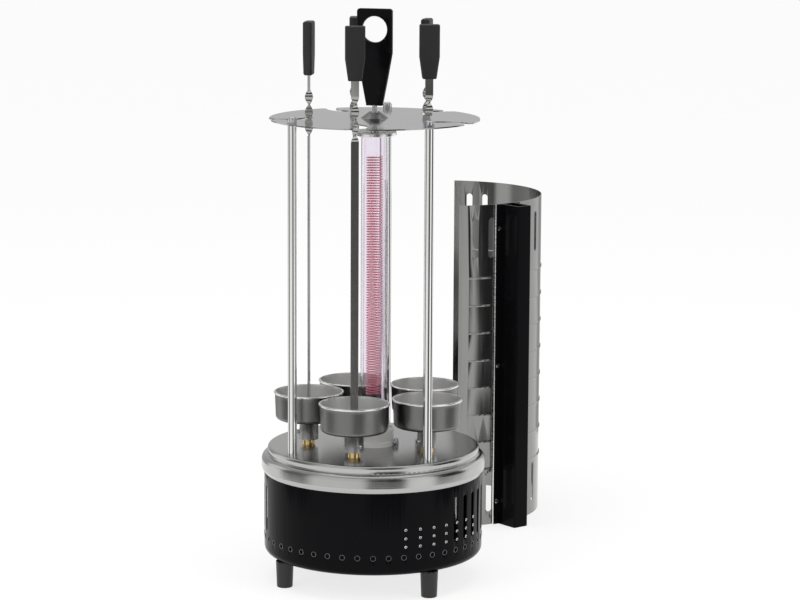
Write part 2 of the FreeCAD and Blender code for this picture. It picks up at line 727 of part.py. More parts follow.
def build_lid():
    """Pressed steel lid: flat top, neck, rounded bead and a skirt over the drum."""
    body = new_body("lid_cover")
    sheet = size.lid_sheet
    neck_foot = drum_top + sheet
    lip_top = skirt_end + size.lid_lip
    skirt_radius = size.lid_bead - size.lid_skirt_draw
    spigot_hole = size.spigot_radius + size.bolt_play
    turned(
        body,
        "pressing",
        (spigot_hole, lid_top),
        (size.lid_radius, lid_top, size.lid_edge),
        (size.lid_neck, neck_foot, size.lid_sheet),
        (size.lid_bead, neck_foot, size.lid_bead_round),
        (size.lid_bead, lip_top, size.lid_lip_round),
        (skirt_radius, skirt_end),
        (skirt_radius - sheet, skirt_end),
        (size.lid_bead - sheet, lip_top, size.lid_lip_round - sheet),
        (size.lid_bead - sheet, drum_top, size.lid_bead_round - sheet),
        (size.lid_neck - sheet, drum_top, size.lid_sheet * 2),
        (size.lid_radius - sheet, lid_under, size.lid_edge - sheet),
        (spigot_hole, lid_under),
    )
    sketch = new_sketch(body, "bush_holes_outline", "XY_Plane", lid_top)
    for number in range(int(size.skewer_count.value)):
        bearing = station_bearing(number)
        x, y = size.skewer_circle * cosine(bearing), size.skewer_circle * sine(bearing)
        draw_circle(sketch, x, y, size.bush_radius)
    for bearing in post_bearings():
        x, y = size.post_circle * cosine(bearing), size.post_circle * sine(bearing)
        draw_circle(sketch, x, y, size.stud_radius + size.bolt_play)
    pocketed(body, "holes", sketch, through(size.lid_sheet))
    return body


def build_bushes():
    """Brass bushes in the lid, one for each spindle."""
    bushes = []
    for number in range(int(size.skewer_count.value)):
        body = new_body(f"spindle_bushes_{number + 1}")
        bore = size.spindle_radius + size.running_play
        turned(
            body,
            "bush",
            (bore, lid_under - size.bush_depth),
            (size.bush_flange, lid_under - size.bush_depth),
            (size.bush_flange, lid_under),
            (size.bush_radius, lid_under),
            (size.bush_radius, lid_top + size.bush_rise),
            (bore, lid_top + size.bush_rise),
        )
        place_at(body, size.skewer_circle, station_bearing(number))
        bushes.append(body)
    return cluster("spindle_bushes", bushes)


def build_gear_plate():
    """Round steel plate that carries the drive, hung below the lid."""
    body = new_body("gear_plate")
    ring(body, "disc", size.hub_bore, size.carrier_radius, carrier_bottom, carrier_top)
    sketch = new_sketch(body, "holes_outline", "XY_Plane", carrier_top)
    for number in range(int(size.skewer_count.value)):
        bearing = station_bearing(number)
        x, y = size.skewer_circle * cosine(bearing), size.skewer_circle * sine(bearing)
        draw_circle(sketch, x, y, size.spindle_radius + size.running_play)
    for bearing in pillar_bearings():
        x, y = size.pillar_circle * cosine(bearing), size.pillar_circle * sine(bearing)
        draw_circle(sketch, x, y, size.bolt_radius + size.bolt_play)
    x, y = pinion_circle * cosine(motor_bearing()), pinion_circle * sine(motor_bearing())
    draw_circle(sketch, x, y, size.motor_boss)
    pocketed(body, "holes", sketch, through(size.carrier_sheet))
    return body


def build_sleeve():
    """Fixed sleeve on the gear plate that the drive gear turns on; the heater's leads pass through it."""
    body = new_body("bearing_sleeve")
    flange_top = carrier_top + size.hub_flange_thick
    turned(
        body,
        "sleeve",
        (size.hub_bore, carrier_top),
        (size.hub_flange, carrier_top),
        (size.hub_flange, flange_top),
        (size.hub_radius, flange_top),
        (size.hub_radius, gear_top),
        (size.hub_bore, gear_top),
    )
    return body


def build_pillars():
    """Pillars between the lid and the gear plate, bored for the long bolts."""
    pillars = []
    for number, bearing in enumerate(pillar_bearings()):
        body = new_body(f"gear_plate_pillars_{number + 1}")
        ring(body, "pillar", size.bolt_radius, size.pillar_radius, carrier_top, lid_under)
        place_at(body, size.pillar_circle, bearing)
        pillars.append(body)
    return cluster("gear_plate_pillars", pillars)


def build_long_bolts():
    """Bolts that draw the base plate, the gear plate and the lid together."""
    bolts = []
    head_top = drum_floor + size.drum_sheet
    for number, bearing in enumerate(pillar_bearings()):
        body = new_body(f"long_bolts_{number + 1}")
        turned(
            body,
            "bolt",
            (0.0, head_top - size.bolt_head),
            (size.bolt_head_radius, head_top - size.bolt_head),
            (size.bolt_head_radius, head_top),
            (size.bolt_radius, head_top),
            (size.bolt_radius, carrier_top + size.bolt_bite),
            (0.0, carrier_top + size.bolt_bite),
        )
        place_at(body, size.pillar_circle, bearing)
        bolts.append(body)
    return cluster("long_bolts", bolts)


def build_motor():
    """Gear motor under the gear plate: can, mounting flange with two ears and a bearing boss."""
    body = new_body("gear_motor")
    can_axis = -size.motor_offset
    sketch = new_sketch(body, "can_outline", "XY_Plane", carrier_bottom - size.motor_flange - size.motor_height)
    draw_circle(sketch, can_axis, 0.0, size.motor_radius)
    padded(body, "can", sketch, size.motor_height)
    sketch = new_sketch(body, "flange_outline", "XY_Plane", carrier_bottom - size.motor_flange)
    ears_length = size.motor_radius * 2 + size.motor_ear * 4
    draw_outline(sketch, *slot(size.motor_ear * 2, ears_length, can_axis))
    padded(body, "ears", sketch, size.motor_flange)
    sketch = new_sketch(body, "cover_outline", "XY_Plane", carrier_bottom - size.motor_flange)
    draw_circle(sketch, can_axis, 0.0, size.motor_radius)
    padded(body, "cover", sketch, size.motor_flange)
    sketch = new_sketch(body, "boss_outline", "XY_Plane", carrier_bottom)
    draw_circle(sketch, 0.0, 0.0, size.motor_boss)
    padded(body, "boss", sketch, size.carrier_sheet)
    sketch = new_sketch(body, "shaft_hole_outline", "XY_Plane", carrier_top)
    draw_circle(sketch, 0.0, 0.0, size.motor_shaft + size.running_play)
    pocketed(body, "shaft_hole", sketch, size.motor_height / 2 + size.carrier_sheet)
    place_at(body, pinion_circle, motor_bearing(), motor_bearing())
    return body


def build_terminal_block():
    """Terminal block on the base plate, with three screw wells."""
    body = new_body("terminal_block")
    sketch = new_sketch(body, "block_outline", "XY_Plane", floor_top)
    draw_outline(sketch, *rectangle(size.terminal_length, size.terminal_depth, 0.0, size.terminal_circle))
    padded(body, "block", sketch, size.terminal_height)
    sketch = new_sketch(body, "wells_outline", "XY_Plane", floor_top + size.terminal_height)
    for step in (-1, 0, 1):
        draw_circle(sketch, size.terminal_pitch * step, size.terminal_circle, size.terminal_well)
    pocketed(body, "wells", sketch, size.terminal_height / 2)
    return body


# Gears


def involute(angle):
    """Involute of an angle in radians."""
    return math.tan(angle) - angle


def gap_outline(teeth):
    """Outline of one tooth gap about the X axis, its flanks drawn through points of the involute."""
    module = size.gear_module.value
    pitch = module * teeth / 2
    base = pitch * math.cos(PRESSURE_ANGLE)
    root = pitch - DEDENDUM * module
    mouth = pitch + GAP_MOUTH * module
    flank = []
    for radius in (max(base, root + FLANK_FOOT * module), pitch, pitch + module, mouth):
        roll = involute(math.acos(base / radius))
        half_tooth = math.pi / (2 * teeth) + involute(PRESSURE_ANGLE) - roll
        half_tooth -= size.tooth_play.value / radius
        half_gap = math.pi / teeth - half_tooth
        flank.append((radius, half_gap))
    flank.insert(0, (root, flank[0][1]))
    left = [Vector(radius * math.cos(angle), radius * math.sin(angle), 0) for radius, angle in flank]
    right = [Vector(point.x, -point.y, 0) for point in reversed(left)]
    return left + right


def cut_teeth(body, teeth, top, width):
    """Cuts the tooth gaps of a gear, the first one on the X axis."""
    sketch = new_sketch(body, "gap_outline", "XY_Plane", top)
    draw_fixed_outline(sketch, gap_outline(int(teeth.value)))
    gap = pocketed(body, "gap", sketch, through(width))
    patterned(body, "teeth", gap, teeth)


def build_drive_gear():
    """Large gear with a thin web, which turns on the fixed sleeve and drives every spindle."""
    body = new_body("drive_gear")
    tip = drive_pitch + size.gear_module
    rim = drive_pitch - size.gear_module * DEDENDUM - size.gear_rim
    bore = size.hub_radius + size.running_play
    bottom = carrier_top + size.hub_flange_thick + size.gear_clear
    turned(
        body,
        "blank",
        (bore, gear_bottom),
        (tip, gear_bottom),
        (tip, gear_top),
        (rim, gear_top),
        (rim, gear_bottom + size.gear_web),
        (size.gear_hub, gear_bottom + size.gear_web),
        (size.gear_hub, gear_top),
        (bore, gear_top),
    )
    foot_radius = (size.hub_flange + size.hub_radius) / 2
    ring(body, "foot", bore, foot_radius, bottom, gear_bottom)
    cut_teeth(body, size.drive_teeth, gear_top, size.gear_width)
    half_tooth = Size(180.0, "180") / size.drive_teeth
    place(body, turn=size.skewer_start + half_tooth)
    return body


def build_pinion():
    """Pinion on the motor's shaft."""
    body = new_body("motor_pinion")
    tip = pinion_pitch + size.gear_module
    ring(body, "blank", 0.0, tip, gear_bottom, gear_top)
    cut_teeth(body, size.pinion_teeth, gear_top, size.gear_width)
    shaft_foot = carrier_bottom - size.motor_shaft_tail
    ring(body, "shaft", 0.0, size.motor_shaft, shaft_foot, gear_bottom)
    place_at(body, pinion_circle, motor_bearing(), meshing_turn(motor_bearing(), size.pinion_teeth))
    return body


def meshing_turn(bearing, teeth):
    """Turn that sets a gear in mesh with the drive gear, whose teeth count from the front skewer."""
    passed = (bearing.value - size.skewer_start.value) * size.drive_teeth.value / 360.0
    into_tooth = Size(360.0 * (passed % 1.0), repr(360.0 * (passed % 1.0))) / teeth
    return bearing + 180.0 + into_tooth


def build_spindle(number):
    """Steel spindle under a drip cup."""
    body = new_body(f"spindle_{number + 1}")
    ring(body, "shaft", 0.0, size.spindle_radius, carrier_bottom - size.spindle_tail, spindle_top)
    place_at(body, size.skewer_circle, station_bearing(number))
    return body


def build_spindle_gear(number):
    """Gear on a spindle, with a hub below it that stands clear of the gear plate."""
    body = new_body(f"spindle_gear_{number + 1}")
    tip = spindle_pitch + size.gear_module
    ring(body, "blank", size.spindle_radius, tip, gear_bottom, gear_top)
    ring(body, "hub", size.spindle_radius, size.spindle_hub, carrier_top + size.gear_clear, gear_bottom)
    cut_teeth(body, size.spindle_teeth, gear_top, size.gear_width)
    bearing = station_bearing(number)
    place_at(body, size.skewer_circle, bearing, meshing_turn(bearing, size.spindle_teeth))
    return body


def build_cup(number, turn):
    """Drip cup on its stem, with the slot that drives the skewer's blade through its floor."""
    body = new_body(f"drip_cup_{number + 1}")
    sheet = size.cup_sheet
    bore = size.spindle_radius
    inner_floor = size.cup_floor_radius - sheet
    turned(
        body,
        "cup",
        (0.0, spindle_top),
        (bore, spindle_top),
        (bore, stem_bottom),
        (size.stem_radius, stem_bottom),
        (size.stem_radius, cup_floor),
        (size.cup_floor_radius, cup_floor, size.cup_corner),
        (size.cup_radius, cup_top - size.cup_roll * 2),
        (size.cup_radius + size.cup_roll, cup_top - size.cup_roll),
        (size.cup_radius, cup_top),
        (size.cup_radius - sheet, cup_top),
        (inner_floor, cup_floor + sheet, size.cup_corner - sheet),
        (0.0, cup_floor + sheet),
    )
    sketch = new_sketch(body, "blade_slot_outline", "XY_Plane", cup_floor + sheet)
    width = size.blade_width + size.blade_play * 2
    draw_outline(sketch, *rectangle(width, size.blade_thick + size.blade_play * 2))
    pocketed(body, "blade_slot", sketch, cup_floor + sheet - spindle_top)
    place_at(body, size.skewer_circle, station_bearing(number), turn)
    return body


# Skewers


def build_blade(number, turn):
    """Flat steel blade with a point, a twist where it passes the top plate, and its tang in the handle."""
    body = new_body(f"skewer_blade_{number + 1}")
    half_width = size.blade_width / 2
    sketch = new_sketch(body, "point_outline", "XZ_Plane")
    shoulder = blade_bottom + size.blade_point
    draw_outline(
        sketch,
        (-size.blade_thick / 2, blade_bottom),
        (size.blade_thick / 2, blade_bottom),
        (half_width, shoulder),
        (half_width, twist_bottom),
        (-half_width, twist_bottom),
        (-half_width, shoulder),
    )
    padded(body, "blade", sketch, size.blade_thick, both_ways=True)
    doc.recompute()
    steps = max(4, round(size.twist_turn.value / 45.0))
    sections = []
    for step in range(steps + 1):
        share = step / steps
        sketch = new_sketch(body, f"twist_{step}", "XY_Plane", twist_bottom + size.twist_length * share)
        turned_by = size.twist_turn * share
        sketch.AttachmentOffset = Placement(sketch.AttachmentOffset.Base, Rotation(Vector(0, 0, 1), 1.0))
        bind(sketch, AttachmentOffset__Rotation__Angle=turned_by)
        draw_outline(sketch, *rectangle(size.blade_width, size.blade_thick))
        sections.append(sketch)
    twist = body.newObject("PartDesign::AdditiveLoft", "twist")
    twist.Profile = sections[0]
    twist.Sections = sections[1:]
    doc.recompute()
    neck = new_sketch(body, "neck_outline", "XY_Plane", twist_bottom + size.twist_length)
    neck.AttachmentOffset = Placement(neck.AttachmentOffset.Base, Rotation(Vector(0, 0, 1), 1.0))
    bind(neck, AttachmentOffset__Rotation__Angle=size.twist_turn)
    draw_outline(neck, *rectangle(size.blade_width, size.blade_thick))
    padded(body, "neck", neck, grip_bottom + size.blade_bite - twist_bottom - size.twist_length)
    place_at(body, size.skewer_circle, station_bearing(number), turn)
    return body


def build_grip(number, turn):
    """Flat skewer handle, tapered towards the blade and bevelled along its edges."""
    body = new_body(f"skewer_handle_{number + 1}")
    sketch = new_sketch(body, "grip_outline", "XZ_Plane")
    half_width, half_foot = size.grip_width / 2, size.grip_foot / 2
    top = grip_bottom + size.grip_height
    draw_outline(
        sketch,
        (-half_foot, grip_bottom, size.grip_edge),
        (half_foot, grip_bottom, size.grip_edge),
        (half_width, grip_bottom + size.grip_taper),
        (half_width, top, size.grip_edge),
        (-half_width, top, size.grip_edge),
        (-half_width, grip_bottom + size.grip_taper),
    )
    pad = padded(body, "grip", sketch, size.grip_thick, both_ways=True)
    bevel_faces(body, pad, size.grip_thick / 2, size.grip_edge)
    sketch = new_sketch(body, "tang_slot_outline", "XY_Plane", grip_bottom + size.blade_bite)
    draw_outline(sketch, *rectangle(size.blade_width, size.blade_thick))
    pocketed(body, "tang_slot", sketch, size.blade_bite)
    place_at(body, size.skewer_circle, station_bearing(number), turn)
    return body


# Posts, top plate and carry handle


def build_post(name, bearing):
    """Post with a threaded end below the lid and above the top plate."""
    body = new_body(name)
    turned(
        body,
        "rod",
        (0.0, lid_under - size.stud_length),
        (size.stud_radius, lid_under - size.stud_length),
        (size.stud_radius, lid_top),
        (size.post_radius, lid_top),
        (size.post_radius, plate_under),
        (size.stud_radius, plate_under),
        (size.stud_radius, plate_top + size.stud_length),
        (0.0, plate_top + size.stud_length),
    )
    place_at(body, size.post_circle, bearing)
    return body


def hexagon(body, name, level, height):
    """Pads a hexagon of the nuts' size."""
    sketch = new_sketch(body, f"{name}_outline", "XY_Plane", level)
    across = size.nut_flats / cosine(Size(30.0, "30")) / 2
    corners = []
    for step in range(6):
        angle = Size(60.0 * step, str(60 * step))
        corners.append((across * cosine(angle), across * sine(angle)))
    draw_outline(sketch, *corners)
    return padded(body, name, sketch, height)


def build_post_nuts():
    """Nuts that hold the posts, under the lid."""
    nuts = []
    for number, bearing in enumerate(post_bearings()):
        body = new_body(f"post_nuts_{number + 1}")
        hexagon(body, "hexagon", lid_under - size.nut_height, size.nut_height)
        ring(body, "bore", 0.0, size.stud_radius, lid_under - size.nut_height * 2, lid_top, cut=True)
        place_at(body, size.post_circle, bearing, bearing + 30.0)
        nuts.append(body)
    return cluster("post_nuts", nuts)


def build_cap_nuts():
    """Domed nuts on the posts' upper ends."""
    nuts = []
    for number, bearing in enumerate(post_bearings()):
        body = new_body(f"cap_nuts_{number + 1}")
        hexagon(body, "hexagon", plate_top, size.nut_height)
        crown = plate_top + size.nut_height
        turned(
            body,
            "dome",
            (0.0, crown),
            (size.nut_flats / 2, crown),
            (size.nut_flats / 2, crown + size.nut_cap, size.nut_cap * DOME_ROUNDING),
            (0.0, crown + size.nut_cap),
        )
        ring(body, "bore", 0.0, size.stud_radius, plate_under, plate_top + size.stud_length, cut=True)
        place_at(body, size.post_circle, bearing)
        nuts.append(body)
    return cluster("cap_nuts", nuts)


def build_top_plate():
    """Round top plate with a pressed boss and a hooked slot for each skewer."""
    body = new_body("top_plate")
    sheet = size.plate_sheet
    hole = size.handle_stud_radius + size.bolt_play
    turned(
        body,
        "sheet",
        (hole, boss_level),
        (size.boss_top, boss_level, sheet),
        (size.boss_radius, plate_top, sheet),
        (size.plate_radius, plate_top),
        (size.plate_radius, plate_under),
        (size.boss_radius - sheet, plate_under, sheet * 2),
        (size.boss_top - sheet, boss_level - sheet, sheet / 2),
        (hole, boss_level - sheet),
    )
    sketch = new_sketch(body, "post_holes_outline", "XY_Plane", plate_top)
    for bearing in post_bearings():
        x, y = size.post_circle * cosine(bearing), size.post_circle * sine(bearing)
        draw_circle(sketch, x, y, size.stud_radius + size.bolt_play)
    pocketed(body, "post_holes", sketch, through(sheet))
    hook = pocketed(body, "hook", hook_outline(body), through(sheet))
    slots = patterned(body, "hooks", hook, size.skewer_count)
    mouth_edges = []
    for index, edge in enumerate(slots.Shape.Edges, start=1):
        ends = [vertex.Point for vertex in edge.Vertexes]
        upright = len(ends) == 2 and math.hypot(ends[0].x - ends[1].x, ends[0].y - ends[1].y) < 1e-4
        if upright and abs(math.hypot(ends[0].x, ends[0].y) - size.plate_radius.value) < 1e-3:
            if abs(edge.Length - sheet.value) < 1e-3 and not is_seam(slots.Shape, edge):
                mouth_edges.append(f"Edge{index}")
    rounding = body.newObject("PartDesign::Fillet", "lobe_tips")
    rounding.Base = (slots, mouth_edges)
    bind(rounding, Radius=size.plate_corner)
    return body


def is_seam(shape, edge):
    """Tells whether an upright edge only closes a round face on itself."""
    faces = shape.ancestorsOfType(edge, Part.Face)
    return len(faces) < 2


def hook_outline(body):
    """Draws one hooked slot: a round seat, and an arc of even width out through the plate's rim."""
    sketch = new_sketch(body, "hook_outline", "XY_Plane", plate_top)
    seat_x = size.skewer_circle * cosine(size.skewer_start)
    seat_y = size.skewer_circle * sine(size.skewer_start)
    outward = size.skewer_start - size.hook_turn
    centre_x = seat_x + size.hook_sweep * cosine(outward)
    centre_y = seat_y + size.hook_sweep * sine(outward)
    seat_angle = outward + 180.0
    mouth_angle = seat_angle - size.hook_reach
    half_width = size.hook_width / 2
    upright = Vector(0, 0, 1)
    sides = []
    for radius in (size.hook_sweep + half_width, size.hook_sweep - half_width):
        circle = Part.Circle(Vector(centre_x.value, centre_y.value, 0), upright, radius.value)
        arc = Part.ArcOfCircle(circle, math.radians(mouth_angle.value), math.radians(seat_angle.value))
        side = sketch.addGeometry(arc, False)
        pin_point(sketch, side, 3, centre_x, centre_y)
        fix(sketch, "Radius", radius, side)
        fix(sketch, "DistanceX", centre_x + radius * cosine(mouth_angle), -1, 1, side, 1)
        sides.append(side)
    seat = Part.Circle(Vector(seat_x.value, seat_y.value, 0), upright, half_width.value)
    start = math.radians(seat_angle.value)
    cap = sketch.addGeometry(Part.ArcOfCircle(seat, start, start + math.pi), False)
    ends = [sketch.getPoint(side, 1) for side in sides]
    mouth = sketch.addGeometry(Part.LineSegment(*ends), False)
    sketch.addConstraint([
        Sketcher.Constraint("Tangent", sides[0], 2, cap, 1),
        Sketcher.Constraint("Tangent", sides[1], 2, cap, 2),
        Sketcher.Constraint("Coincident", mouth, 1, sides[0], 1),
        Sketcher.Constraint("Coincident", mouth, 2, sides[1], 1),
    ])
    fix(sketch, "DistanceX", seat_x, -1, 1, cap, 3)
    return sketch


def is_seam(shape, edge):
    """Tells whether an upright edge only closes a round face on itself."""
    return len(shape.ancestorsOfType(edge, Part.Face)) < 2


def build_carry_handle():
    """Flat carry handle with a finger hole, tapered to the stud that holds it."""
    body = new_body("carry_handle")
    half_width, half_waist, half_foot = size.paddle_width / 2, size.paddle_waist / 2, size.paddle_foot / 2
    waist_level = paddle_bottom + size.paddle_foot_height
    top = paddle_bottom + size.paddle_height
    grip_level = top - size.paddle_grip_height
    sketch = new_sketch(body, "paddle_outline", "XZ_Plane")
    draw_outline(
        sketch,
        (-half_foot, paddle_bottom),
        (half_foot, paddle_bottom),
        (half_waist, waist_level, size.paddle_bend),
        (half_width, grip_level, size.paddle_bend),
        (half_width, top, size.paddle_corner),
        (-half_width, top, size.paddle_corner),
        (-half_width, grip_level, size.paddle_bend),
        (-half_waist, waist_level, size.paddle_bend),
    )
    draw_circle(sketch, 0.0, top - size.paddle_hole_drop, size.paddle_hole)
    pad = padded(body, "paddle", sketch, size.paddle_thick, both_ways=True)
    bevel_faces(body, pad, size.paddle_thick / 2, size.paddle_edge)
    bore_top = paddle_bottom + size.handle_stud_bite
    ring(body, "stud_bore", 0.0, size.handle_stud_radius, washer_top, bore_top, cut=True)
    place(body, turn=-size.paddle_yaw)
    return body


def bevel_faces(body, pad, offset, width):
    """Bevels both flat faces of a pad that lies either side of the XZ plane."""
    doc.recompute()
    faces = []
    for index, face in enumerate(pad.Shape.Faces, start=1):
        if abs(abs(face.CenterOfMass.y) - offset.value) < 1e-3:
            faces.append(f"Face{index}")
    bevel = body.newObject("PartDesign::Chamfer", "bevel")
    bevel.Base = (pad, faces)
    bind(bevel, Size=width)
    doc.recompute()
    return bevel


def build_handle_stud():
    """Stud from the heater's cap up through the top plate into the carry handle."""
    body = new_body("handle_stud")
    ring(body, "rod", 0.0, size.handle_stud_radius, tube_top, paddle_bottom + size.handle_stud_bite)
    return body


def build_handle_washer():
    """Washer on the plate's boss."""
    body = new_body("handle_washer")
    ring(body, "washer", size.handle_stud_radius, size.washer_radius, boss_level, washer_top)
    return body


# Heater


def build_heater_spacer():
    """Tube that holds the heater's disc below the top plate."""
    body = new_body("heater_spacer")
    underside = boss_level - size.plate_sheet
    ring(body, "tube", size.handle_stud_radius, size.spacer_radius, disc_top, underside)
    return body


def build_heater_disc():
    """Shallow steel disc with a turned-down lip over the heater."""
    body = new_body("heater_disc")
    turned(
        body,
        "disc",
        (size.handle_stud_radius, disc_top),
        (size.disc_radius, disc_top, size.disc_edge),
        (size.disc_radius, disc_top - size.disc_lip),
        (size.disc_radius - size.disc_sheet, disc_top - size.disc_lip),
        (size.disc_radius - size.disc_sheet, cap_top, size.disc_sheet / 2),
        (size.handle_stud_radius, cap_top),
    )
    return body


def build_heater_cap():
    """Ceramic cap on the heater tube's upper end."""
    body = new_body("heater_cap")
    turned(
        body,
        "cap",
        (size.handle_stud_radius, cap_top),
        (size.cap_radius, cap_top),
        (size.cap_radius, cap_bottom),
        (size.tube_radius, cap_bottom),
        (size.tube_radius, tube_top),
        (size.handle_stud_radius, tube_top),
    )
    return body


def build_quartz_tube():
    """Quartz tube round the heating coil."""
    body = new_body("quartz_tube")
    ring(body, "tube", size.tube_radius - size.tube_wall, size.tube_radius, tube_bottom, tube_top)
    return body


def build_heating_coil():
    """Heating coil, drawn as the sleeve that its close turns fill inside the quartz tube."""
    body = new_body("heating_coil")
    outer = size.tube_radius - size.tube_wall
    ring(body, "winding", outer - size.coil_wire, outer, coil_bottom, coil_top)
    return body


def build_heater_socket():
    """Ceramic socket on the lid, with a spigot down through the lid and the fixed sleeve."""
    body = new_body("heater_socket")
    turned(
        body,
        "socket",
        (size.lead_bore, lid_under - size.spigot_depth),
        (size.spigot_radius, lid_under - size.spigot_depth),
        (size.spigot_radius, lid_top),
        (size.socket_radius, lid_top),
        (size.socket_radius, socket_top, size.socket_edge),
        (size.tube_radius, socket_top),
        (size.tube_radius, tube_bottom),
        (size.lead_bore, tube_bottom),
    )
    return body


def build_clamp_ring():
    """Steel ring round the socket's foot."""
    body = new_body("clamp_ring")
    ring(body, "ring", size.socket_radius, size.clamp_radius, lid_top, lid_top + size.clamp_height)
    return body


# Reflector


def arc_swept(body, name, swing, angle, *corners, cut=False):
    """Turns an outline through part of a circle, half to each side of a bearing."""
    sketch = new_sketch(body, f"{name}_outline", "XZ_Plane", 0.0, swing)
    draw_outline(sketch, *corners)
    feature = body.newObject("PartDesign::Groove" if cut else "PartDesign::Revolution", name)
    feature.Profile = sketch
    feature.ReferenceAxis = (sketch, ["V_Axis"])
    feature.Midplane = True
    feature.Refine = False
    bind(feature, Angle=angle)
    return feature


def as_angle(width, radius):
    """Angle in degrees that a width takes up on a circle."""
    return width / radius * Size(180.0 / math.pi, "180 / pi")


def place_reflector(body):
    """Stands a piece of the reflector behind the grill."""
    place(body, size.shell_place_x, size.shell_place_y)


def build_reflector_shell():
    """Half-round steel reflector with pressed ribs from hem to hem, and vent slits.

    The hems keep faces of their own, so each rib parts the sheet's faces from end to end.
    """
    body = new_body("reflector_shell")
    outer, sheet = size.shell_radius, size.shell_sheet
    inner = outer - sheet
    start = Size(0.0, "0")
    hem_angle = as_angle(size.hem_width, outer)
    single_span = size.shell_span - hem_angle * 2
    arc_swept(
        body, "sheet", start, single_span,
        (inner, 0.0), (outer, 0.0), (outer, size.shell_height), (inner, size.shell_height),
    )
    hem_outer = outer + size.hem_thick
    hem_swing = (size.shell_span - hem_angle) / 2
    for side, swing in (("near", -hem_swing), ("far", hem_swing)):
        arc_swept(
            body, f"{side}_hem", swing, hem_angle,
            (inner, 0.0), (hem_outer, 0.0), (hem_outer, size.shell_height), (inner, size.shell_height),
        )
    crest, foot = size.rib_crest / 2, size.rib_width / 2
    level = size.rib_first
    for name, base, rise, cut in (("rib", outer - sheet / 2, size.rib_rise + sheet / 2, False),
                                  ("groove", inner, size.rib_rise, True)):
        feature = arc_swept(
            body, name, start, single_span,
            (base, level - foot), (base + rise, level - crest), (base + rise, level + crest), (base, level + foot),
            cut=cut,
        )
        raised(body, f"{name}s", feature, size.rib_count, size.rib_pitch)
    for bearing in (size.slit_near_edge, size.slit_second, size.slit_beside_strip):
        for side, swing in (("near", -bearing), ("far", bearing)):
            for end, level in (("foot", size.slit_inset), ("top", size.shell_height - size.slit_inset)):
                cut_slit(body, f"{side}_{end}_slit", swing, level)
    cut_rivet_holes(body, outer, sheet, -size.strip_bearing)
    place_reflector(body)
    return body


def cut_slit(body, name, swing, level):
    """Cuts one upright vent slit."""
    sketch = new_sketch(body, f"{name}_outline", "YZ_Plane", size.shell_radius + size.shell_sheet, swing)
    draw_outline(sketch, *slot(size.slit_width, size.slit_height, 0.0, level))
    slit = pocketed(body, name, sketch, through(size.shell_sheet) + size.shell_sheet)
    slit.Refine = False


def build_reflector_handle():
    """Full-height handle strip: a channel with a flange along each side, seated on the ribs."""
    body = new_body("reflector_handle")
    wall = size.strip_wall
    span = as_angle(size.strip_width + size.strip_flange * 2, flange_seat)
    swing = Size(0.0, "0")
    arc_swept(
        body, "flange", swing, span,
        (flange_seat, 0.0), (flange_out, 0.0), (flange_out, size.shell_height), (flange_seat, size.shell_height),
    )
    outer = flange_seat + size.strip_depth
    sketch = new_sketch(body, "channel_outline", "XY_Plane")
    half_width = size.strip_width / 2
    draw_outline(
        sketch,
        (flange_seat, -half_width),
        (outer, -half_width, wall),
        (outer, half_width, wall),
        (flange_seat, half_width),
    )
    padded(body, "channel", sketch, size.shell_height)
    sketch = new_sketch(body, "hollow_outline", "XY_Plane", size.shell_height)
    inside = half_width - wall
    draw_outline(
        sketch,
        (flange_seat - wall * 2, -inside),
        (outer - wall, -inside),
        (outer - wall, inside),
        (flange_seat - wall * 2, inside),
    )
    pocketed(body, "hollow", sketch, size.shell_height)
    cut_rivet_holes(body, flange_out, wall, 0.0)
    place(body, size.shell_place_x, size.shell_place_y, 0.0, -size.strip_bearing)
    return body


def rivet_places():
    """Lists each rivet's bearing from the strip's middle and its level."""
    off_middle = as_angle((size.strip_width + size.strip_flange) / 2, flange_out)
    row_pitch = (size.shell_height - size.rivet_inset * 2) / (size.rivet_rows - 1)
    levels = [size.rivet_inset + row_pitch * row for row in range(int(size.rivet_rows.value))]
    return [(swing, level) for swing in (-off_middle, off_middle) for level in levels]


def cut_rivet_holes(body, outside, sheet, turn):
    """Cuts the rivets' holes through a sheet, given its outside radius."""
    for number, (swing, level) in enumerate(rivet_places(), start=1):
        sketch = new_sketch(body, f"rivet_hole_{number}_outline", "YZ_Plane", outside + sheet, swing + turn)
        draw_circle(sketch, 0.0, level, size.rivet_shank)
        hole = pocketed(body, f"rivet_hole_{number}", sketch, through(sheet) + sheet)
        hole.Refine = False


def build_rivets():
    """Rivets down both flanges of the handle strip."""
    rivets = []
    inner = size.shell_radius - size.shell_sheet
    for number, (swing, level) in enumerate(rivet_places(), start=1):
        body = new_body(f"reflector_rivets_{number}")
        bearing = swing - size.strip_bearing
        shank = new_sketch(body, "shank_outline", "YZ_Plane", inner, bearing)
        draw_circle(shank, 0.0, level, size.rivet_shank)
        padded(body, "shank", shank, flange_out - inner)
        head = new_sketch(body, "head_outline", "YZ_Plane", flange_out, bearing)
        draw_circle(head, 0.0, level, size.rivet_radius)
        padded(body, "head", head, size.rivet_head)
        place_reflector(body)
        rivets.append(body)
    return cluster("reflector_rivets", rivets)


# The whole grill

# How far each skewer and its cup are turned at rest, in degrees from the front.
REST_TURNS = (0.0, 5.0, 77.0, 90.0, 80.0)


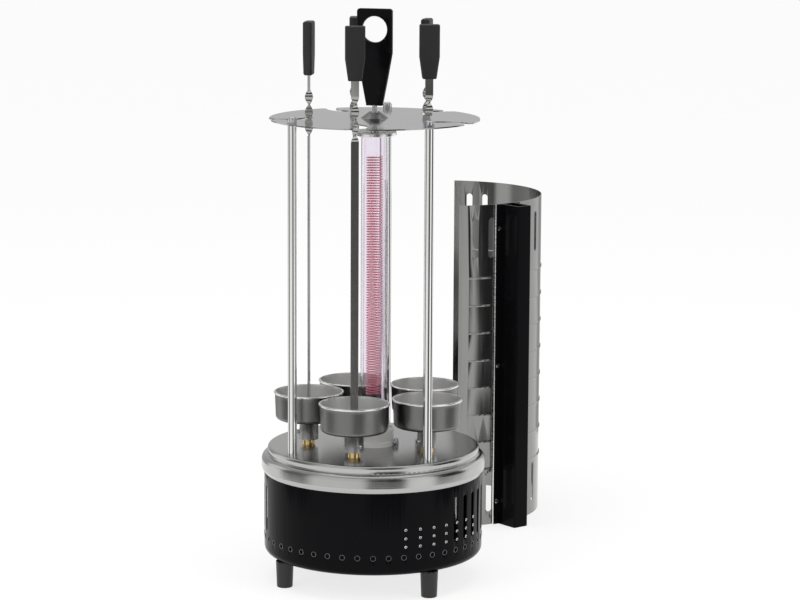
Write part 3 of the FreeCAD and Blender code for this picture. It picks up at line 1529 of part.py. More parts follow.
def build_grill():
    """Builds every sub-part and returns them."""
    pieces = [build_drum(), build_base_plate(), build_gland()]
    pieces += [build_foot(number, bearing) for number, bearing in enumerate(foot_bearings(), start=1)]
    pieces += [build_lid(), build_bushes(), build_gear_plate(), build_sleeve(), build_pillars()]
    pieces += [build_long_bolts(), build_motor(), build_terminal_block()]
    pieces += [build_drive_gear(), build_pinion()]
    for number, turn in enumerate(REST_TURNS):
        turn = Size(turn, str(turn))
        blade_turn = turn - size.twist_turn
        pieces += [build_spindle(number), build_spindle_gear(number), build_cup(number, blade_turn)]
        pieces += [build_blade(number, blade_turn), build_grip(number, turn)]
    for name, bearing in zip(("post_front_left", "post_front_right", "post_rear"), post_bearings()):
        pieces.append(build_post(name, bearing))
    pieces += [build_post_nuts(), build_cap_nuts(), build_top_plate()]
    pieces += [build_carry_handle(), build_handle_stud(), build_handle_washer()]
    pieces += [build_heater_spacer(), build_heater_disc(), build_heater_cap(), build_quartz_tube()]
    pieces += [build_heating_coil(), build_heater_socket(), build_clamp_ring()]
    pieces += [build_reflector_shell(), build_reflector_handle(), build_rivets()]
    return pieces


def check_document():
    """Stops if any object failed to build."""
    for item in doc.Objects:
        if "Invalid" in item.State or "Error" in item.State:
            raise RuntimeError(f"{item.Label} of {item.TypeId} failed")
    for item in doc.Objects:
        if item.TypeId in ("PartDesign::Pocket", "PartDesign::Groove"):
            if item.AddSubShape.isNull() or item.Shape.Volume >= item.BaseFeature.Shape.Volume - 1e-6:
                raise RuntimeError(f"{item.Label} cuts nothing")


def export(pieces):
    """Writes each sub-part to its own STEP file."""
    os.makedirs("parts", exist_ok=True)
    for piece in pieces:
        shape = piece.Shape
        if shape.isNull() or not shape.isValid():
            raise RuntimeError(f"{piece.Label} has no valid shape")
        shape.exportStep(f"parts/{piece.Label}.step")
        print(f"{piece.Label}: {len(shape.Solids)} solid(s), {shape.Volume:.1f} mm3")


parts = build_grill()
doc.recompute()
check_document()
export(parts)
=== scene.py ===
"""Looks of an upright electric skewer grill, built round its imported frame.

Five skewers turn round a quartz heater, above drip cups on a polished lid and a black
enamelled drum. A half-round steel reflector with a black handle strip stands behind, at the
right. All places are in metres in the frame's own axes: +Z up along the grill's axis, the front
towards -Y.
"""

import json
import logging
import math
from collections.abc import Callable, Iterable, Iterator
from contextlib import contextmanager
from dataclasses import dataclass
from enum import Enum

import bmesh
import bpy
from mathutils import Euler, Matrix, Vector

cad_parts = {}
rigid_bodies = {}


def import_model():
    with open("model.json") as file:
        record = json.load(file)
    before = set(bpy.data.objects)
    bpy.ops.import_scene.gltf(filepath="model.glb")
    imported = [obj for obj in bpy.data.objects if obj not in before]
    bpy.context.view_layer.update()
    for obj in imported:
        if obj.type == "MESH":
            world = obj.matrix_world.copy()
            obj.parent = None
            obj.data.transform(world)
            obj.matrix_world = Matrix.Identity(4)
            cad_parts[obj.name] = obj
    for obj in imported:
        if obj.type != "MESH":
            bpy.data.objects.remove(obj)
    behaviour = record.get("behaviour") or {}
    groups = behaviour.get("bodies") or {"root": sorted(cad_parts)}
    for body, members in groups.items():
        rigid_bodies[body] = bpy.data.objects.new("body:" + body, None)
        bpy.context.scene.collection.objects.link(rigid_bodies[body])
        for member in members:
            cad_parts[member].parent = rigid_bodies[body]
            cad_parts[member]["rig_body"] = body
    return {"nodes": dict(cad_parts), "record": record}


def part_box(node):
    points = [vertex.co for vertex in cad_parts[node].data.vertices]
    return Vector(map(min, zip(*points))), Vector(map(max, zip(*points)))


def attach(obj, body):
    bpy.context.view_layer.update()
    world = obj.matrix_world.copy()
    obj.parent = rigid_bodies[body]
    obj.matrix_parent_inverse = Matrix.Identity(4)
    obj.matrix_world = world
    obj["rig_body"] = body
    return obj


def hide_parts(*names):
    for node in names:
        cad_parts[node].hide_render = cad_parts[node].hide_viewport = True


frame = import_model()

LOG = logging.getLogger("skewer_grill")
MM = 0.001
SMOOTH_ANGLE = math.radians(32.0)
WELD = 0.004 * MM
# Cosines between the normal of a face and the way that it looks, roughly and exactly.
FACING = 0.9
SQUARE_ON = 0.99
STATIONS = range(1, 6)


# ---------------------------------------------------------------------------------------------
# Small tools of the bench
# ---------------------------------------------------------------------------------------------


def linear(colour: str) -> tuple[float, float, float, float]:
    """Turns an sRGB hex colour to linear light.

    Args:
        colour: Six hex digits after a hash.

    Returns:
        Red, green, blue and an alpha of 1.
    """
    parts = (int(colour[start:start + 2], 16) / 255 for start in (1, 3, 5))
    red, green, blue = (p / 12.92 if p <= 0.04045 else ((p + 0.055) / 1.055) ** 2.4 for p in parts)
    return red, green, blue, 1.0


def deselect() -> None:
    """Leaves nothing selected."""
    if bpy.context.object and bpy.context.object.mode != "OBJECT":
        bpy.ops.object.mode_set(mode="OBJECT")
    bpy.ops.object.select_all(action="DESELECT")


def pick(piece: bpy.types.Object) -> None:
    """Makes a piece the only selected one, and the active one.

    Args:
        piece: The piece to pick.
    """
    deselect()
    piece.select_set(True)
    bpy.context.view_layer.objects.active = piece


@contextmanager
def editing(piece: bpy.types.Object) -> Iterator[None]:
    """Opens a piece in edit mode with all of it selected, and closes it again.

    Args:
        piece: The piece to shape.

    Yields:
        Nothing. The piece stays in edit mode meanwhile.
    """
    pick(piece)
    bpy.ops.object.mode_set(mode="EDIT")
    bpy.ops.mesh.select_mode(type="VERT")
    bpy.ops.mesh.select_all(action="SELECT")
    yield
    bpy.ops.object.mode_set(mode="OBJECT")


def choose_faces(piece: bpy.types.Object, test: Callable[[bmesh.types.BMFace], bool]) -> None:
    """Selects the faces of a piece in edit mode that pass a test.

    Args:
        piece: The piece in edit mode.
        test: Says whether a face is chosen.
    """
    bpy.ops.mesh.select_mode(type="FACE")
    bpy.ops.mesh.select_all(action="DESELECT")
    mesh = bmesh.from_edit_mesh(piece.data)
    mesh.normal_update()
    for face in mesh.faces:
        face.select_set(test(face))
    bmesh.update_edit_mesh(piece.data)


def settle(piece: bpy.types.Object, name: str) -> bpy.types.Object:
    """Moves a piece's place into its mesh and names it.

    Args:
        piece: A finished piece.
        name: Its name.

    Returns:
        The same piece, at the origin, unturned and unscaled.
    """
    pick(piece)
    bpy.ops.object.transform_apply(location=True, rotation=True, scale=True)
    piece.name = name
    piece.data.name = name
    return piece


def smooth(piece: bpy.types.Object, angle: float = SMOOTH_ANGLE) -> bpy.types.Object:
    """Shades a piece smooth, up to an angle between its faces.

    Args:
        piece: The piece to shade.
        angle: Largest angle that still looks smooth, in radians.

    Returns:
        The same piece.
    """
    pick(piece)
    bpy.ops.object.shade_smooth_by_angle(angle=angle)
    return piece


def modify(piece: bpy.types.Object, kind: str, **settings: object) -> bpy.types.Object:
    """Adds a modifier and applies it.

    Args:
        piece: The piece to change.
        kind: Blender's type of modifier.
        settings: The modifier's own settings.

    Returns:
        The same piece.
    """
    pick(piece)
    modifier = piece.modifiers.new(kind.title(), kind)
    for setting, value in settings.items():
        setattr(modifier, setting, value)
    bpy.ops.object.modifier_apply(modifier=modifier.name)
    return piece


def outline_vertex(start: Vector) -> bpy.types.Object:
    """Starts an outline as one vertex, left in edit mode.

    Args:
        start: Place of the vertex.

    Returns:
        The new piece.
    """
    deselect()
    bpy.ops.mesh.primitive_plane_add(size=MM, location=start)
    bpy.ops.object.transform_apply(location=True, rotation=True, scale=True)
    bpy.ops.object.mode_set(mode="EDIT")
    bpy.ops.mesh.select_mode(type="VERT")
    bpy.ops.mesh.select_all(action="SELECT")
    bpy.ops.mesh.merge(type="CENTER")
    return bpy.context.object


def lathe(name: str, axis: Vector, outline: Iterable[tuple[float, float]], steps: int,
          closed: bool = True) -> bpy.types.Object:
    """Spins an outline of radius and height about an upright axis.

    Args:
        name: Name of the piece.
        axis: A point at the foot of the axis.
        outline: Radius and height of each corner, in metres, in order.
        steps: Steps of the full turn.
        closed: Whether the outline returns to its start. An open one begins and ends on the axis.

    Returns:
        The turned piece.
    """
    corners = [axis + Vector((radius, 0.0, height)) for radius, height in outline]
    piece = outline_vertex(corners[0])
    for before, after in zip(corners, corners[1:]):
        bpy.ops.mesh.extrude_vertices_move(TRANSFORM_OT_translate={"value": after - before})
    bpy.ops.mesh.select_all(action="SELECT")
    if closed:
        mesh = bmesh.from_edit_mesh(piece.data)
        bpy.ops.mesh.select_all(action="DESELECT")
        for vertex in mesh.verts:
            vertex.select_set(len(vertex.link_edges) == 1)
        bmesh.update_edit_mesh(piece.data)
        bpy.ops.mesh.edge_face_add()
        bpy.ops.mesh.select_all(action="SELECT")
    bpy.ops.mesh.spin(steps=steps, angle=math.tau, center=axis, axis=(0, 0, 1))
    bpy.ops.mesh.select_all(action="SELECT")
    bpy.ops.mesh.remove_doubles(threshold=WELD)
    bpy.ops.mesh.normals_make_consistent(inside=False)
    bpy.ops.object.mode_set(mode="OBJECT")
    return smooth(settle(piece, name))


def joined(name: str, pieces: list[bpy.types.Object]) -> bpy.types.Object:
    """Joins pieces in one mesh.

    Args:
        name: Name of the joined piece.
        pieces: What is joined.

    Returns:
        The joined piece.
    """
    deselect()
    for piece in pieces:
        piece.select_set(True)
    bpy.context.view_layer.objects.active = pieces[0]
    bpy.ops.object.join()
    return settle(bpy.context.object, name)


def copied(piece: bpy.types.Object, shift: Vector, turn: float = 0.0) -> bpy.types.Object:
    """Copies a piece with a mesh of its own, turned about the grill's axis and then shifted.

    Args:
        piece: The pattern, whose object sits at the origin.
        shift: How far the copy moves.
        turn: The copy's turn about the upright axis through the origin, in radians.

    Returns:
        The copy, with its place in its mesh.
    """
    pick(piece)
    bpy.ops.object.duplicate(linked=False)
    copy = bpy.context.object
    copy.rotation_euler = Euler((0.0, 0.0, turn))
    copy.location = shift
    pick(copy)
    bpy.ops.object.transform_apply(location=True, rotation=True, scale=True)
    return copy


def circle_outline(radius: float, height: float, round_radius: float,
                   corners: int) -> list[tuple[float, float]]:
    """Corners of a round section for a turned ring.

    Args:
        radius: Distance of the section's middle from the axis.
        height: Height of the section's middle.
        round_radius: Radius of the section.
        corners: How many corners it has.

    Returns:
        Radius and height of each corner.
    """
    angles = (math.tau * step / corners for step in range(corners))
    return [(radius + round_radius * math.cos(angle), height + round_radius * math.sin(angle))
            for angle in angles]


def bar_section(width: float, thick: float, edge: float, height: float) -> bpy.types.Object:
    """Makes the bevelled section of a flat bar, as one face about the upright axis.

    Args:
        width: Width along X.
        thick: Thickness along Y.
        edge: Bevel of the section's corners.
        height: Level of the face.

    Returns:
        The new piece.
    """
    deselect()
    bpy.ops.mesh.primitive_plane_add(size=1.0, location=(0.0, 0.0, height))
    piece = bpy.context.object
    piece.scale = (width, thick, 1.0)
    bpy.ops.object.transform_apply(location=True, rotation=True, scale=True)
    with editing(piece):
        bpy.ops.mesh.bevel(offset=edge, affect="VERTICES", segments=1)
    return piece


def rise(height: float) -> None:
    """Extrudes the selected face of the piece in edit mode upwards."""
    bpy.ops.mesh.extrude_region_move(TRANSFORM_OT_translate={"value": (0.0, 0.0, height)})


def turn_selected(angle: float) -> None:
    """Turns the selection counter-clockwise about the upright axis through the origin."""
    bpy.ops.transform.rotate(value=-angle, orient_axis="Z", center_override=(0.0, 0.0, 0.0))


def dressed(node: str) -> bpy.types.Object:
    """Makes the shown copy of a CAD node, with its triangles merged and shaded smooth.

    Args:
        node: Name of the node.

    Returns:
        The copy, which replaces the node and rides on its body.
    """
    source = frame["nodes"][node]
    copy = bpy.data.objects.new(f"{node}_skin", source.data.copy())
    bpy.context.scene.collection.objects.link(copy)
    with editing(copy):
        bpy.ops.mesh.remove_doubles(threshold=WELD)
    smooth(copy)
    modify(copy, "WEIGHTED_NORMAL", keep_sharp=True, weight=50)
    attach(copy, source["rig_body"])
    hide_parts(node)
    return copy


# ---------------------------------------------------------------------------------------------
# Finishes
# ---------------------------------------------------------------------------------------------

# Noise stays mostly between these two values.
NOISE_LOW, NOISE_HIGH = 0.3, 0.7
GRAIN_OCTAVES = 2.0
GRAIN_FALLOFF = 0.55
RING_OCTAVES = 3.0
LEAST_ROUGHNESS = 0.02


def add_node(tree: bpy.types.NodeTree, kind: str, links: dict | None = None,
             **settings: object) -> bpy.types.Node:
    """Adds a shader node with its settings and links.

    Args:
        tree: The material's or world's tree.
        kind: Blender's type of node.
        links: Value or output socket for each input, by name or number.
        settings: The node's own settings.

    Returns:
        The new node.
    """
    node = tree.nodes.new(kind)
    for setting, value in settings.items():
        setattr(node, setting, value)
    for socket, value in (links or {}).items():
        if isinstance(value, bpy.types.NodeSocket):
            tree.links.new(value, node.inputs[socket])
        else:
            node.inputs[socket].default_value = value
    return node


def bare_material(name: str) -> bpy.types.Material:
    """Makes a material with an empty tree.

    Args:
        name: Name of the material.

    Returns:
        The new material.
    """
    material = bpy.data.materials.new(name)
    material.use_nodes = True
    material.node_tree.nodes.clear()
    return material


@dataclass(frozen=True)
class Finish:
    """A surface finish: its colour and how it shines."""

    name: str
    colour: str
    roughness: float
    metallic: float = 0.0
    ior: float = 1.5

    def make(self) -> bpy.types.Material:
        """Makes the material, unless it is there already.

        Returns:
            The material.
        """
        made = bpy.data.materials.get(self.name)
        if made:
            return made
        material = bare_material(self.name)
        tree = material.node_tree
        shader = add_node(tree, "ShaderNodeBsdfPrincipled", {
            "Base Color": linear(self.colour),
            "Roughness": self.roughness,
            "Metallic": self.metallic,
            "IOR": self.ior,
        })
        add_node(tree, "ShaderNodeOutputMaterial", {"Surface": shader.outputs["BSDF"]})
        self.detail(tree, shader)
        return material

    def detail(self, tree: bpy.types.NodeTree, shader: bpy.types.Node) -> None:
        """Adds the finish's own pattern. The plain finish has none."""

    def on(self, piece: bpy.types.Object) -> None:
        """Gives the finish to a piece."""
        piece.data.materials.clear()
        piece.data.materials.append(self.make())

    def over(self, piece: bpy.types.Object, test: Callable[[bpy.types.MeshPolygon], bool]) -> None:
        """Gives the finish to some faces of a piece.

        Args:
            piece: A piece that has its main finish already.
            test: Says whether a face takes this finish.
        """
        piece.data.materials.append(self.make())
        for face in piece.data.polygons:
            if test(face):
                face.material_index = len(piece.data.materials) - 1

    def grain(self, tree: bpy.types.NodeTree,
              size_mm: tuple[float, float, float]) -> bpy.types.NodeSocket:
        """Makes a noise pattern of a real grain size.

        Args:
            tree: The material's tree.
            size_mm: Grain size along each axis of the piece.

        Returns:
            The pattern's value, from 0 to 1.
        """
        place = add_node(tree, "ShaderNodeTexCoord")
        scaled = add_node(tree, "ShaderNodeMapping", {
            "Vector": place.outputs["Object"],
            "Scale": tuple(1.0 / (size * MM) for size in size_mm),
        })
        noise = add_node(tree, "ShaderNodeTexNoise", {
            "Vector": scaled.outputs["Vector"],
            "Scale": 1.0,
            "Detail": GRAIN_OCTAVES,
            "Roughness": GRAIN_FALLOFF,
        })
        return noise.outputs["Fac"]

    def spread(self, tree: bpy.types.NodeTree, value: bpy.types.NodeSocket, low: float,
               high: float) -> bpy.types.NodeSocket:
        """Maps a pattern from 0 to 1 onto another range.

        Args:
            tree: The material's tree.
            value: The pattern.
            low: Result where the noise is at its usual least.
            high: Result where the noise is at its usual most.

        Returns:
            The mapped value.
        """
        mapped = add_node(tree, "ShaderNodeMapRange", {
            "Value": value, "From Min": NOISE_LOW, "From Max": NOISE_HIGH,
            "To Min": low, "To Max": high,
        })
        return mapped.outputs["Result"]

    def gloss(self, tree: bpy.types.NodeTree, shader: bpy.types.Node, value: bpy.types.NodeSocket,
              spread: float) -> None:
        """Lets a pattern change the roughness a little to both sides.

        Args:
            tree: The material's tree.
            shader: The finish's shader.
            value: The pattern.
            spread: How far the roughness goes to each side.
        """
        low, high = max(self.roughness - spread, LEAST_ROUGHNESS), self.roughness + spread
        tree.links.new(self.spread(tree, value, low, high), shader.inputs["Roughness"])

    def relief(self, tree: bpy.types.NodeTree, shader: bpy.types.Node,
               value: bpy.types.NodeSocket, height_mm: float) -> None:
        """Raises a pattern on the surface by a real height."""
        bump = add_node(tree, "ShaderNodeBump", {"Height": value, "Distance": height_mm * MM})
        tree.links.new(bump.outputs["Normal"], shader.inputs["Normal"])


@dataclass(frozen=True)
class Grained(Finish):
    """A finish whose grain changes its shine and relief a little."""

    grain_mm: tuple[float, float, float] = (1.0, 1.0, 1.0)
    roughness_spread: float = 0.04
    relief_mm: float = 0.01

    def detail(self, tree: bpy.types.NodeTree, shader: bpy.types.Node) -> None:
        """Adds the grain to the shine and the relief."""
        value = self.grain(tree, self.grain_mm)
        self.gloss(tree, shader, value, self.roughness_spread)
        if self.relief_mm:
            self.relief(tree, shader, value, self.relief_mm)


@dataclass(frozen=True)
class Spun(Finish):
    """Metal polished on a lathe: fine rings about an upright axis."""

    ring_mm: float = 0.8
    roughness_spread: float = 0.05
    relief_mm: float = 0.004

    def detail(self, tree: bpy.types.NodeTree, shader: bpy.types.Node) -> None:
        """Adds fine rings by the distance from the grill's axis and by height."""
        place = add_node(tree, "ShaderNodeTexCoord")
        parts = add_node(tree, "ShaderNodeSeparateXYZ", {"Vector": place.outputs["Object"]})
        flat = add_node(tree, "ShaderNodeCombineXYZ", {
            "X": parts.outputs["X"], "Y": parts.outputs["Y"]})
        radius = add_node(tree, "ShaderNodeVectorMath", {0: flat.outputs["Vector"]},
                          operation="LENGTH")
        run = add_node(tree, "ShaderNodeMath", {0: radius.outputs["Value"], 1: parts.outputs["Z"]})
        noise = add_node(tree, "ShaderNodeTexNoise", {
            "W": run.outputs["Value"], "Scale": 1.0 / (self.ring_mm * MM), "Detail": RING_OCTAVES,
        }, noise_dimensions="1D")
        self.gloss(tree, shader, noise.outputs["Fac"], self.roughness_spread)
        self.relief(tree, shader, noise.outputs["Fac"], self.relief_mm)


@dataclass(frozen=True)
class Clear(Finish):
    """Clear glass."""

    def detail(self, tree: bpy.types.NodeTree, shader: bpy.types.Node) -> None:
        """Lets light through the glass."""
        shader.inputs["Transmission Weight"].default_value = 1.0


# Vitreous enamel on sheet steel: fired glass, so it is deep black with an even gloss and a soft
# waviness.
ENAMEL = Grained("black_enamel", "#0A0A0C", 0.16, ior=1.14, grain_mm=(2.5, 2.5, 2.5),
                 roughness_spread=0.02, relief_mm=0.003)
# Polished stainless steel, spun: fine rings draw its highlights out round the part.
SPUN_STEEL = Spun("spun_stainless", "#B8B8B7", 0.2, metallic=1.0)
# Mirror-polished stainless sheet: buffed flat, with a faint haze.
MIRROR_STEEL = Grained("mirror_stainless", "#B7B7B6", 0.12, metallic=1.0,
                       grain_mm=(14.0, 14.0, 14.0), roughness_spread=0.02, relief_mm=0.003)
# The dome that the press draws in the middle of the plate: duller, and darker as painted shade.
SHADED_DOME_STEEL = Grained("dome_stainless_painted_shade", "#898988", 0.34, metallic=1.0,
                     grain_mm=(2.0, 2.0, 2.0), roughness_spread=0.05, relief_mm=0.004)
# Ground and polished rod: fine lines round the rod.
ROD_STEEL = Grained("polished_rod", "#F0F0EF", 0.08, metallic=1.0, grain_mm=(6.0, 6.0, 0.6),
                    roughness_spread=0.03, relief_mm=0.001)
# Bright stainless, turned and polished: the cups' rolled rims; on the strip's flange and the small
# holes' lips it makes painted highlights.
BRIGHT_STEEL = Grained("turned_stainless", "#F0F0EF", 0.27, metallic=1.0,
                       grain_mm=(5.0, 5.0, 0.8), relief_mm=0.0)
# Deep-drawn stainless: the punch leaves faint upright streaks. The cups' outside is darker than
# their inside as painted shade.
DRAWN_STEEL = Grained("drawn_stainless", "#7C7C7B", 0.34, metallic=1.0,
                      grain_mm=(2.2, 2.2, 18.0), relief_mm=0.002)
# The same sheet inside the cups: lighter than the outside, whose darker grey is painted shade.
BURNISHED_STEEL = Grained("burnished_stainless", "#F0F0EF", 0.42, metallic=1.0,
                          grain_mm=(4.0, 4.0, 12.0), relief_mm=0.002)
# Bright annealed sheet, cold rolled along its height: long faint streaks.
SHEET_STEEL = Grained("bright_sheet", "#8E8E8D", 0.14, metallic=1.0,
                      grain_mm=(3.0, 3.0, 60.0), relief_mm=0.002)
# Satin stainless: even and soft, without a mirror. The cups' stems have it.
SATIN_STEEL = Grained("satin_band", "#F0F0EF", 0.42, metallic=1.0,
                      grain_mm=(3.0, 3.0, 0.8), relief_mm=0.001)
# Zinc-plated fasteners: slightly blue and satin.
ZINC = Grained("zinc_plate", "#D1D3D5", 0.2, metallic=1.0,
               grain_mm=(0.8, 0.8, 0.8), relief_mm=0.001)
# Galvanised sheet: plain and dull.
GALVANISED = Grained("galvanised_sheet", "#A8AAAC", 0.42, metallic=1.0,
                     grain_mm=(7.0, 7.0, 7.0), roughness_spread=0.1)
# Turned brass: warm yellow, with the lathe's fine rings.
BRASS = Grained("turned_brass", "#DBBF83", 0.22, metallic=1.0,
                grain_mm=(5.0, 5.0, 0.35), relief_mm=0.006)
# Flat stainless blade, rolled: bright, with faint marks along its length.
BLADE_STEEL = Grained("skewer_steel", "#BCBBB9", 0.12, metallic=1.0,
                      grain_mm=(1.2, 1.2, 9.0), roughness_spread=0.03, relief_mm=0.001)
# Heat-proof moulded plastic: charcoal black with a fine sparked texture.
BAKELITE = Grained("moulded_phenolic", "#1B1B1C", 0.42, grain_mm=(0.5, 0.5, 0.5),
                   roughness_spread=0.06, relief_mm=0.02)
# The same plastic from a polished mould: glossy and deep black.
POLISHED_PHENOLIC = Grained("polished_phenolic", "#08080A", 0.16, ior=1.2,
                            grain_mm=(6.0, 6.0, 6.0), roughness_spread=0.03, relief_mm=0.004)
# Moulded nylon gears: milky white and waxy.
NYLON = Grained("moulded_nylon", "#D9D3C2", 0.4, grain_mm=(1.5, 1.5, 1.5))
# Fired steatite ceramic: matt white.
CERAMIC = Grained("steatite", "#F5F4F1", 0.45, grain_mm=(0.7, 0.7, 0.7), roughness_spread=0.08,
                  relief_mm=0.012)
# Fused quartz tube: clear and smooth.
QUARTZ = Clear("fused_quartz", "#F6F1F8", 0.0, ior=1.458)
# Resistance wire, oxidised to a pinkish red.
COIL_WIRE = Grained("resistance_wire", "#F08A9A", 0.38, grain_mm=(0.5, 0.5, 0.5), relief_mm=0.006)
# Black rubber: matt, with a faint bloom.
RUBBER = Grained("black_rubber", "#161616", 0.62, grain_mm=(0.6, 0.6, 0.6), relief_mm=0.02)

# Nodes whose surface isn't their slot's own. The clamp's band is white, like the socket in it.
NODE_FINISHES = {
    "carry_handle": POLISHED_PHENOLIC,
    "clamp_ring": CERAMIC,
}

SLOT_FINISHES = {
    "drum_enamel": ENAMEL,
    "strip_enamel": ENAMEL,
    "base_steel": GALVANISED,
    "gland_rubber": RUBBER,
    "foot_plastic": BAKELITE,
    "lid_steel": SPUN_STEEL,
    "brass": BRASS,
    "gear_nylon": NYLON,
    "gear_steel": ZINC,
    "motor_zinc": ZINC,
    "terminal_plastic": NYLON,
    "post_steel": ROD_STEEL,
    "zinc_steel": ZINC,
    "plate_steel": MIRROR_STEEL,
    "grip_plastic": BAKELITE,
    "disc_steel": BRIGHT_STEEL,
    "ceramic": CERAMIC,
    "quartz": QUARTZ,
    "coil_wire": COIL_WIRE,
    "cup_steel": DRAWN_STEEL,
    "blade_steel": BLADE_STEEL,
    "reflector_steel": SHEET_STEEL,
}


# ---------------------------------------------------------------------------------------------
# The grill
# ---------------------------------------------------------------------------------------------


def slot_of(node: str) -> str:
    """Material slot of a CAD node in the record."""
    rows = frame["record"]["subparts"]
    return next(row["material_slot"] for row in rows if row["node"] == node)


def show(piece: bpy.types.Object, slot: str, body: str | None = None,
         finish: Finish | None = None) -> bpy.types.Object:
    """Finishes a piece by its slot and lets it ride.

    Args:
        piece: The piece.
        slot: The record's material slot.
        body: Body that the piece rides on, unless it rides already.
        finish: Its finish, where it isn't the slot's own.

    Returns:
        The same piece.
    """
    (finish or SLOT_FINISHES[slot]).on(piece)
    if body:
        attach(piece, body)
    LOG.info("%s: %d faces", piece.name, len(piece.data.polygons))
    return piece


# Nodes inside the drum, which keep their own objects.
INNER_NODES = (
    "gear_plate", "bearing_sleeve", "gear_plate_pillars", "gear_motor", "terminal_block",
    "drive_gear", "motor_pinion",
)


class Side(Enum):
    """Which way the faces of a patch look from the middle of their node."""

    ANY = "any"
    INWARD = "inward"


@dataclass(frozen=True)
class Patch:
    """Part of a node with a finish of its own: faces within a radius and between two heights."""

    finish: Finish
    side: Side = Side.ANY
    outer: float = 1.0
    foot: float = 0.0
    head: float = 1.0

    def within(self, node: str) -> Callable[[bpy.types.MeshPolygon], bool]:
        """Makes the test for the patch's faces, about the middle of the node.

        Args:
            node: Name of the node.

        Returns:
            The test.
        """
        low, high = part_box(node)
        middle = (low + high) / 2

        def inside(face: bpy.types.MeshPolygon) -> bool:
            """Says whether a face lies in the patch.

            Args:
                face: A face of the node's shown copy.

            Returns:
                Whether it takes the patch's finish.
            """
            reach = (face.center - middle).xy
            outward = face.normal.xy.dot(reach) - face.normal.z * reach.length
            turned_right = self.side is Side.ANY or outward < 0.0
            in_reach = reach.length <= self.outer and self.foot <= face.center.z <= self.head
            return turned_right and in_reach

        return inside


# The cups' inside and outside are lit and shaded copies of one sheet: the outside's darker grey is
# painted shade.
CUP_INSIDE = Patch(BURNISHED_STEEL, Side.INWARD, foot=164.9 * MM)
CUP_STEM = Patch(SATIN_STEEL, outer=12.0 * MM, head=164.7 * MM)
# The plate's dome takes a darker steel than the plate, as painted shade.
PLATE_DOME = Patch(SHADED_DOME_STEEL, outer=14.0 * MM, foot=473.1 * MM)
PATCHES = {"top_plate": (PLATE_DOME,)} | {
    f"drip_cup_{number}": (CUP_INSIDE, CUP_STEM) for number in STATIONS
}


def dress_frame() -> None:
    """Finishes every CAD node that no later piece replaces, smooth where it can be seen."""
    for node, source in frame["nodes"].items():
        if node in INNER_NODES or node.startswith("spindle_gear"):
            SLOT_FINISHES[slot_of(node)].on(source)
        elif not node.startswith(("heating_coil", "skewer_blade")):
            piece = show(dressed(node), slot_of(node), finish=NODE_FINISHES.get(node))
            for patch in PATCHES.get(node, ()):
                patch.finish.over(piece, patch.within(node))


@dataclass
class Drum:
    """Enamelled drum: dishes behind its round ports, and the lips of ports and small holes, whose
    bare steel makes painted highlights on the enamel.
    """

    radius: float = 111.6 * MM
    port_count: int = 45
    port_radius: float = 2.9 * MM
    port_level: float = 46.0 * MM
    port_lip: float = 0.3 * MM
    port_steps: int = 18
    port_corners: int = 6
    dish_radius: float = 3.3 * MM
    dish_shoulder: float = 0.65
    dish_start: float = 0.7 * MM
    dish_depth: float = 1.2 * MM
    dish_sheet: float = 0.25 * MM
    hole_radius: float = 1.5 * MM
    hole_levels: tuple[float, ...] = (56.5 * MM, 65.1 * MM, 73.7 * MM)
    hole_lip: float = 0.36 * MM
    hole_steps: int = 12
    hole_corners: int = 5
    hole_start: float = 17.0
    hole_columns: int = 7
    hole_pitch: float = 8.0

    def in_wall(self, piece: bpy.types.Object, level: float) -> bpy.types.Object:
        """Turns a lathed piece to face forwards, and sets it in the drum's front wall.

        Args:
            piece: A piece turned about the upright axis at the origin.
            level: Height of its middle in the wall.

        Returns:
            The same piece.
        """
        piece.rotation_euler = Euler((math.pi / 2, 0.0, 0.0))
        piece.location = (0.0, -self.radius, level)
        return settle(piece, piece.name)

    def dish(self) -> bpy.types.Object:
        """Makes the pressed dish that closes the front port from inside.

        Returns:
            The dish.
        """
        back = self.dish_start + self.dish_depth
        shoulder = self.dish_shoulder * self.dish_radius
        outline = [
            (0.0, -back - self.dish_sheet), (shoulder, -back),
            (self.dish_radius, -self.dish_start - self.dish_sheet),
            (self.dish_radius, -self.dish_start),
            (shoulder, -back + self.dish_sheet), (0.0, -back),
        ]
        bowl = lathe("port_dish", Vector(), outline, self.port_steps, closed=False)
        return self.in_wall(bowl, self.port_level)

    def all_round(self, name: str, front: bpy.types.Object) -> bpy.types.Object:
        """Copies the front port's piece to every port.

        Args:
            name: Name of the joined piece.
            front: The front port's piece.

        Returns:
            The joined piece.
        """
        rest = [copied(front, Vector(), math.tau * step / self.port_count)
                for step in range(1, self.port_count)]
        return joined(name, [front, *rest])

    def ports(self) -> None:
        """Sets a lip and a dish in every port."""
        outline = circle_outline(self.port_radius - self.port_lip, 0.0, self.port_lip,
                                 self.port_corners)
        lip = lathe("port_lip", Vector(), outline, self.port_steps)
        lips = self.all_round("port_lips", self.in_wall(lip, self.port_level))
        # The lips' grey steel on the enamelled drum is a painted highlight: the glints round the
        # ports' rims.
        show(lips, "drum_enamel", "base", DRAWN_STEEL)
        show(self.all_round("port_dishes", self.dish()), "drum_enamel", "base", ENAMEL)

    def holes(self) -> None:
        """Sets a lip round every small hole, in rows one above the other."""
        outline = circle_outline(self.hole_radius - self.hole_lip, 0.0, self.hole_lip,
                                 self.hole_corners)
        lips = []
        for level in self.hole_levels:
            front = self.in_wall(lathe("hole_lip", Vector(), outline, self.hole_steps), level)
            for column in range(self.hole_columns):
                turn = math.radians(self.hole_start + self.hole_pitch * column)
                lips.append(copied(front, Vector(), turn))
            bpy.data.objects.remove(front)
        # The small holes' lips in bright steel are painted highlights: the bright dots of the
        # holes in the enamel.
        show(joined("hole_lips", lips), "drum_enamel", "base", BRIGHT_STEEL)

    def build(self) -> None:
        """Builds the drum's own pieces."""
        self.ports()
        self.holes()


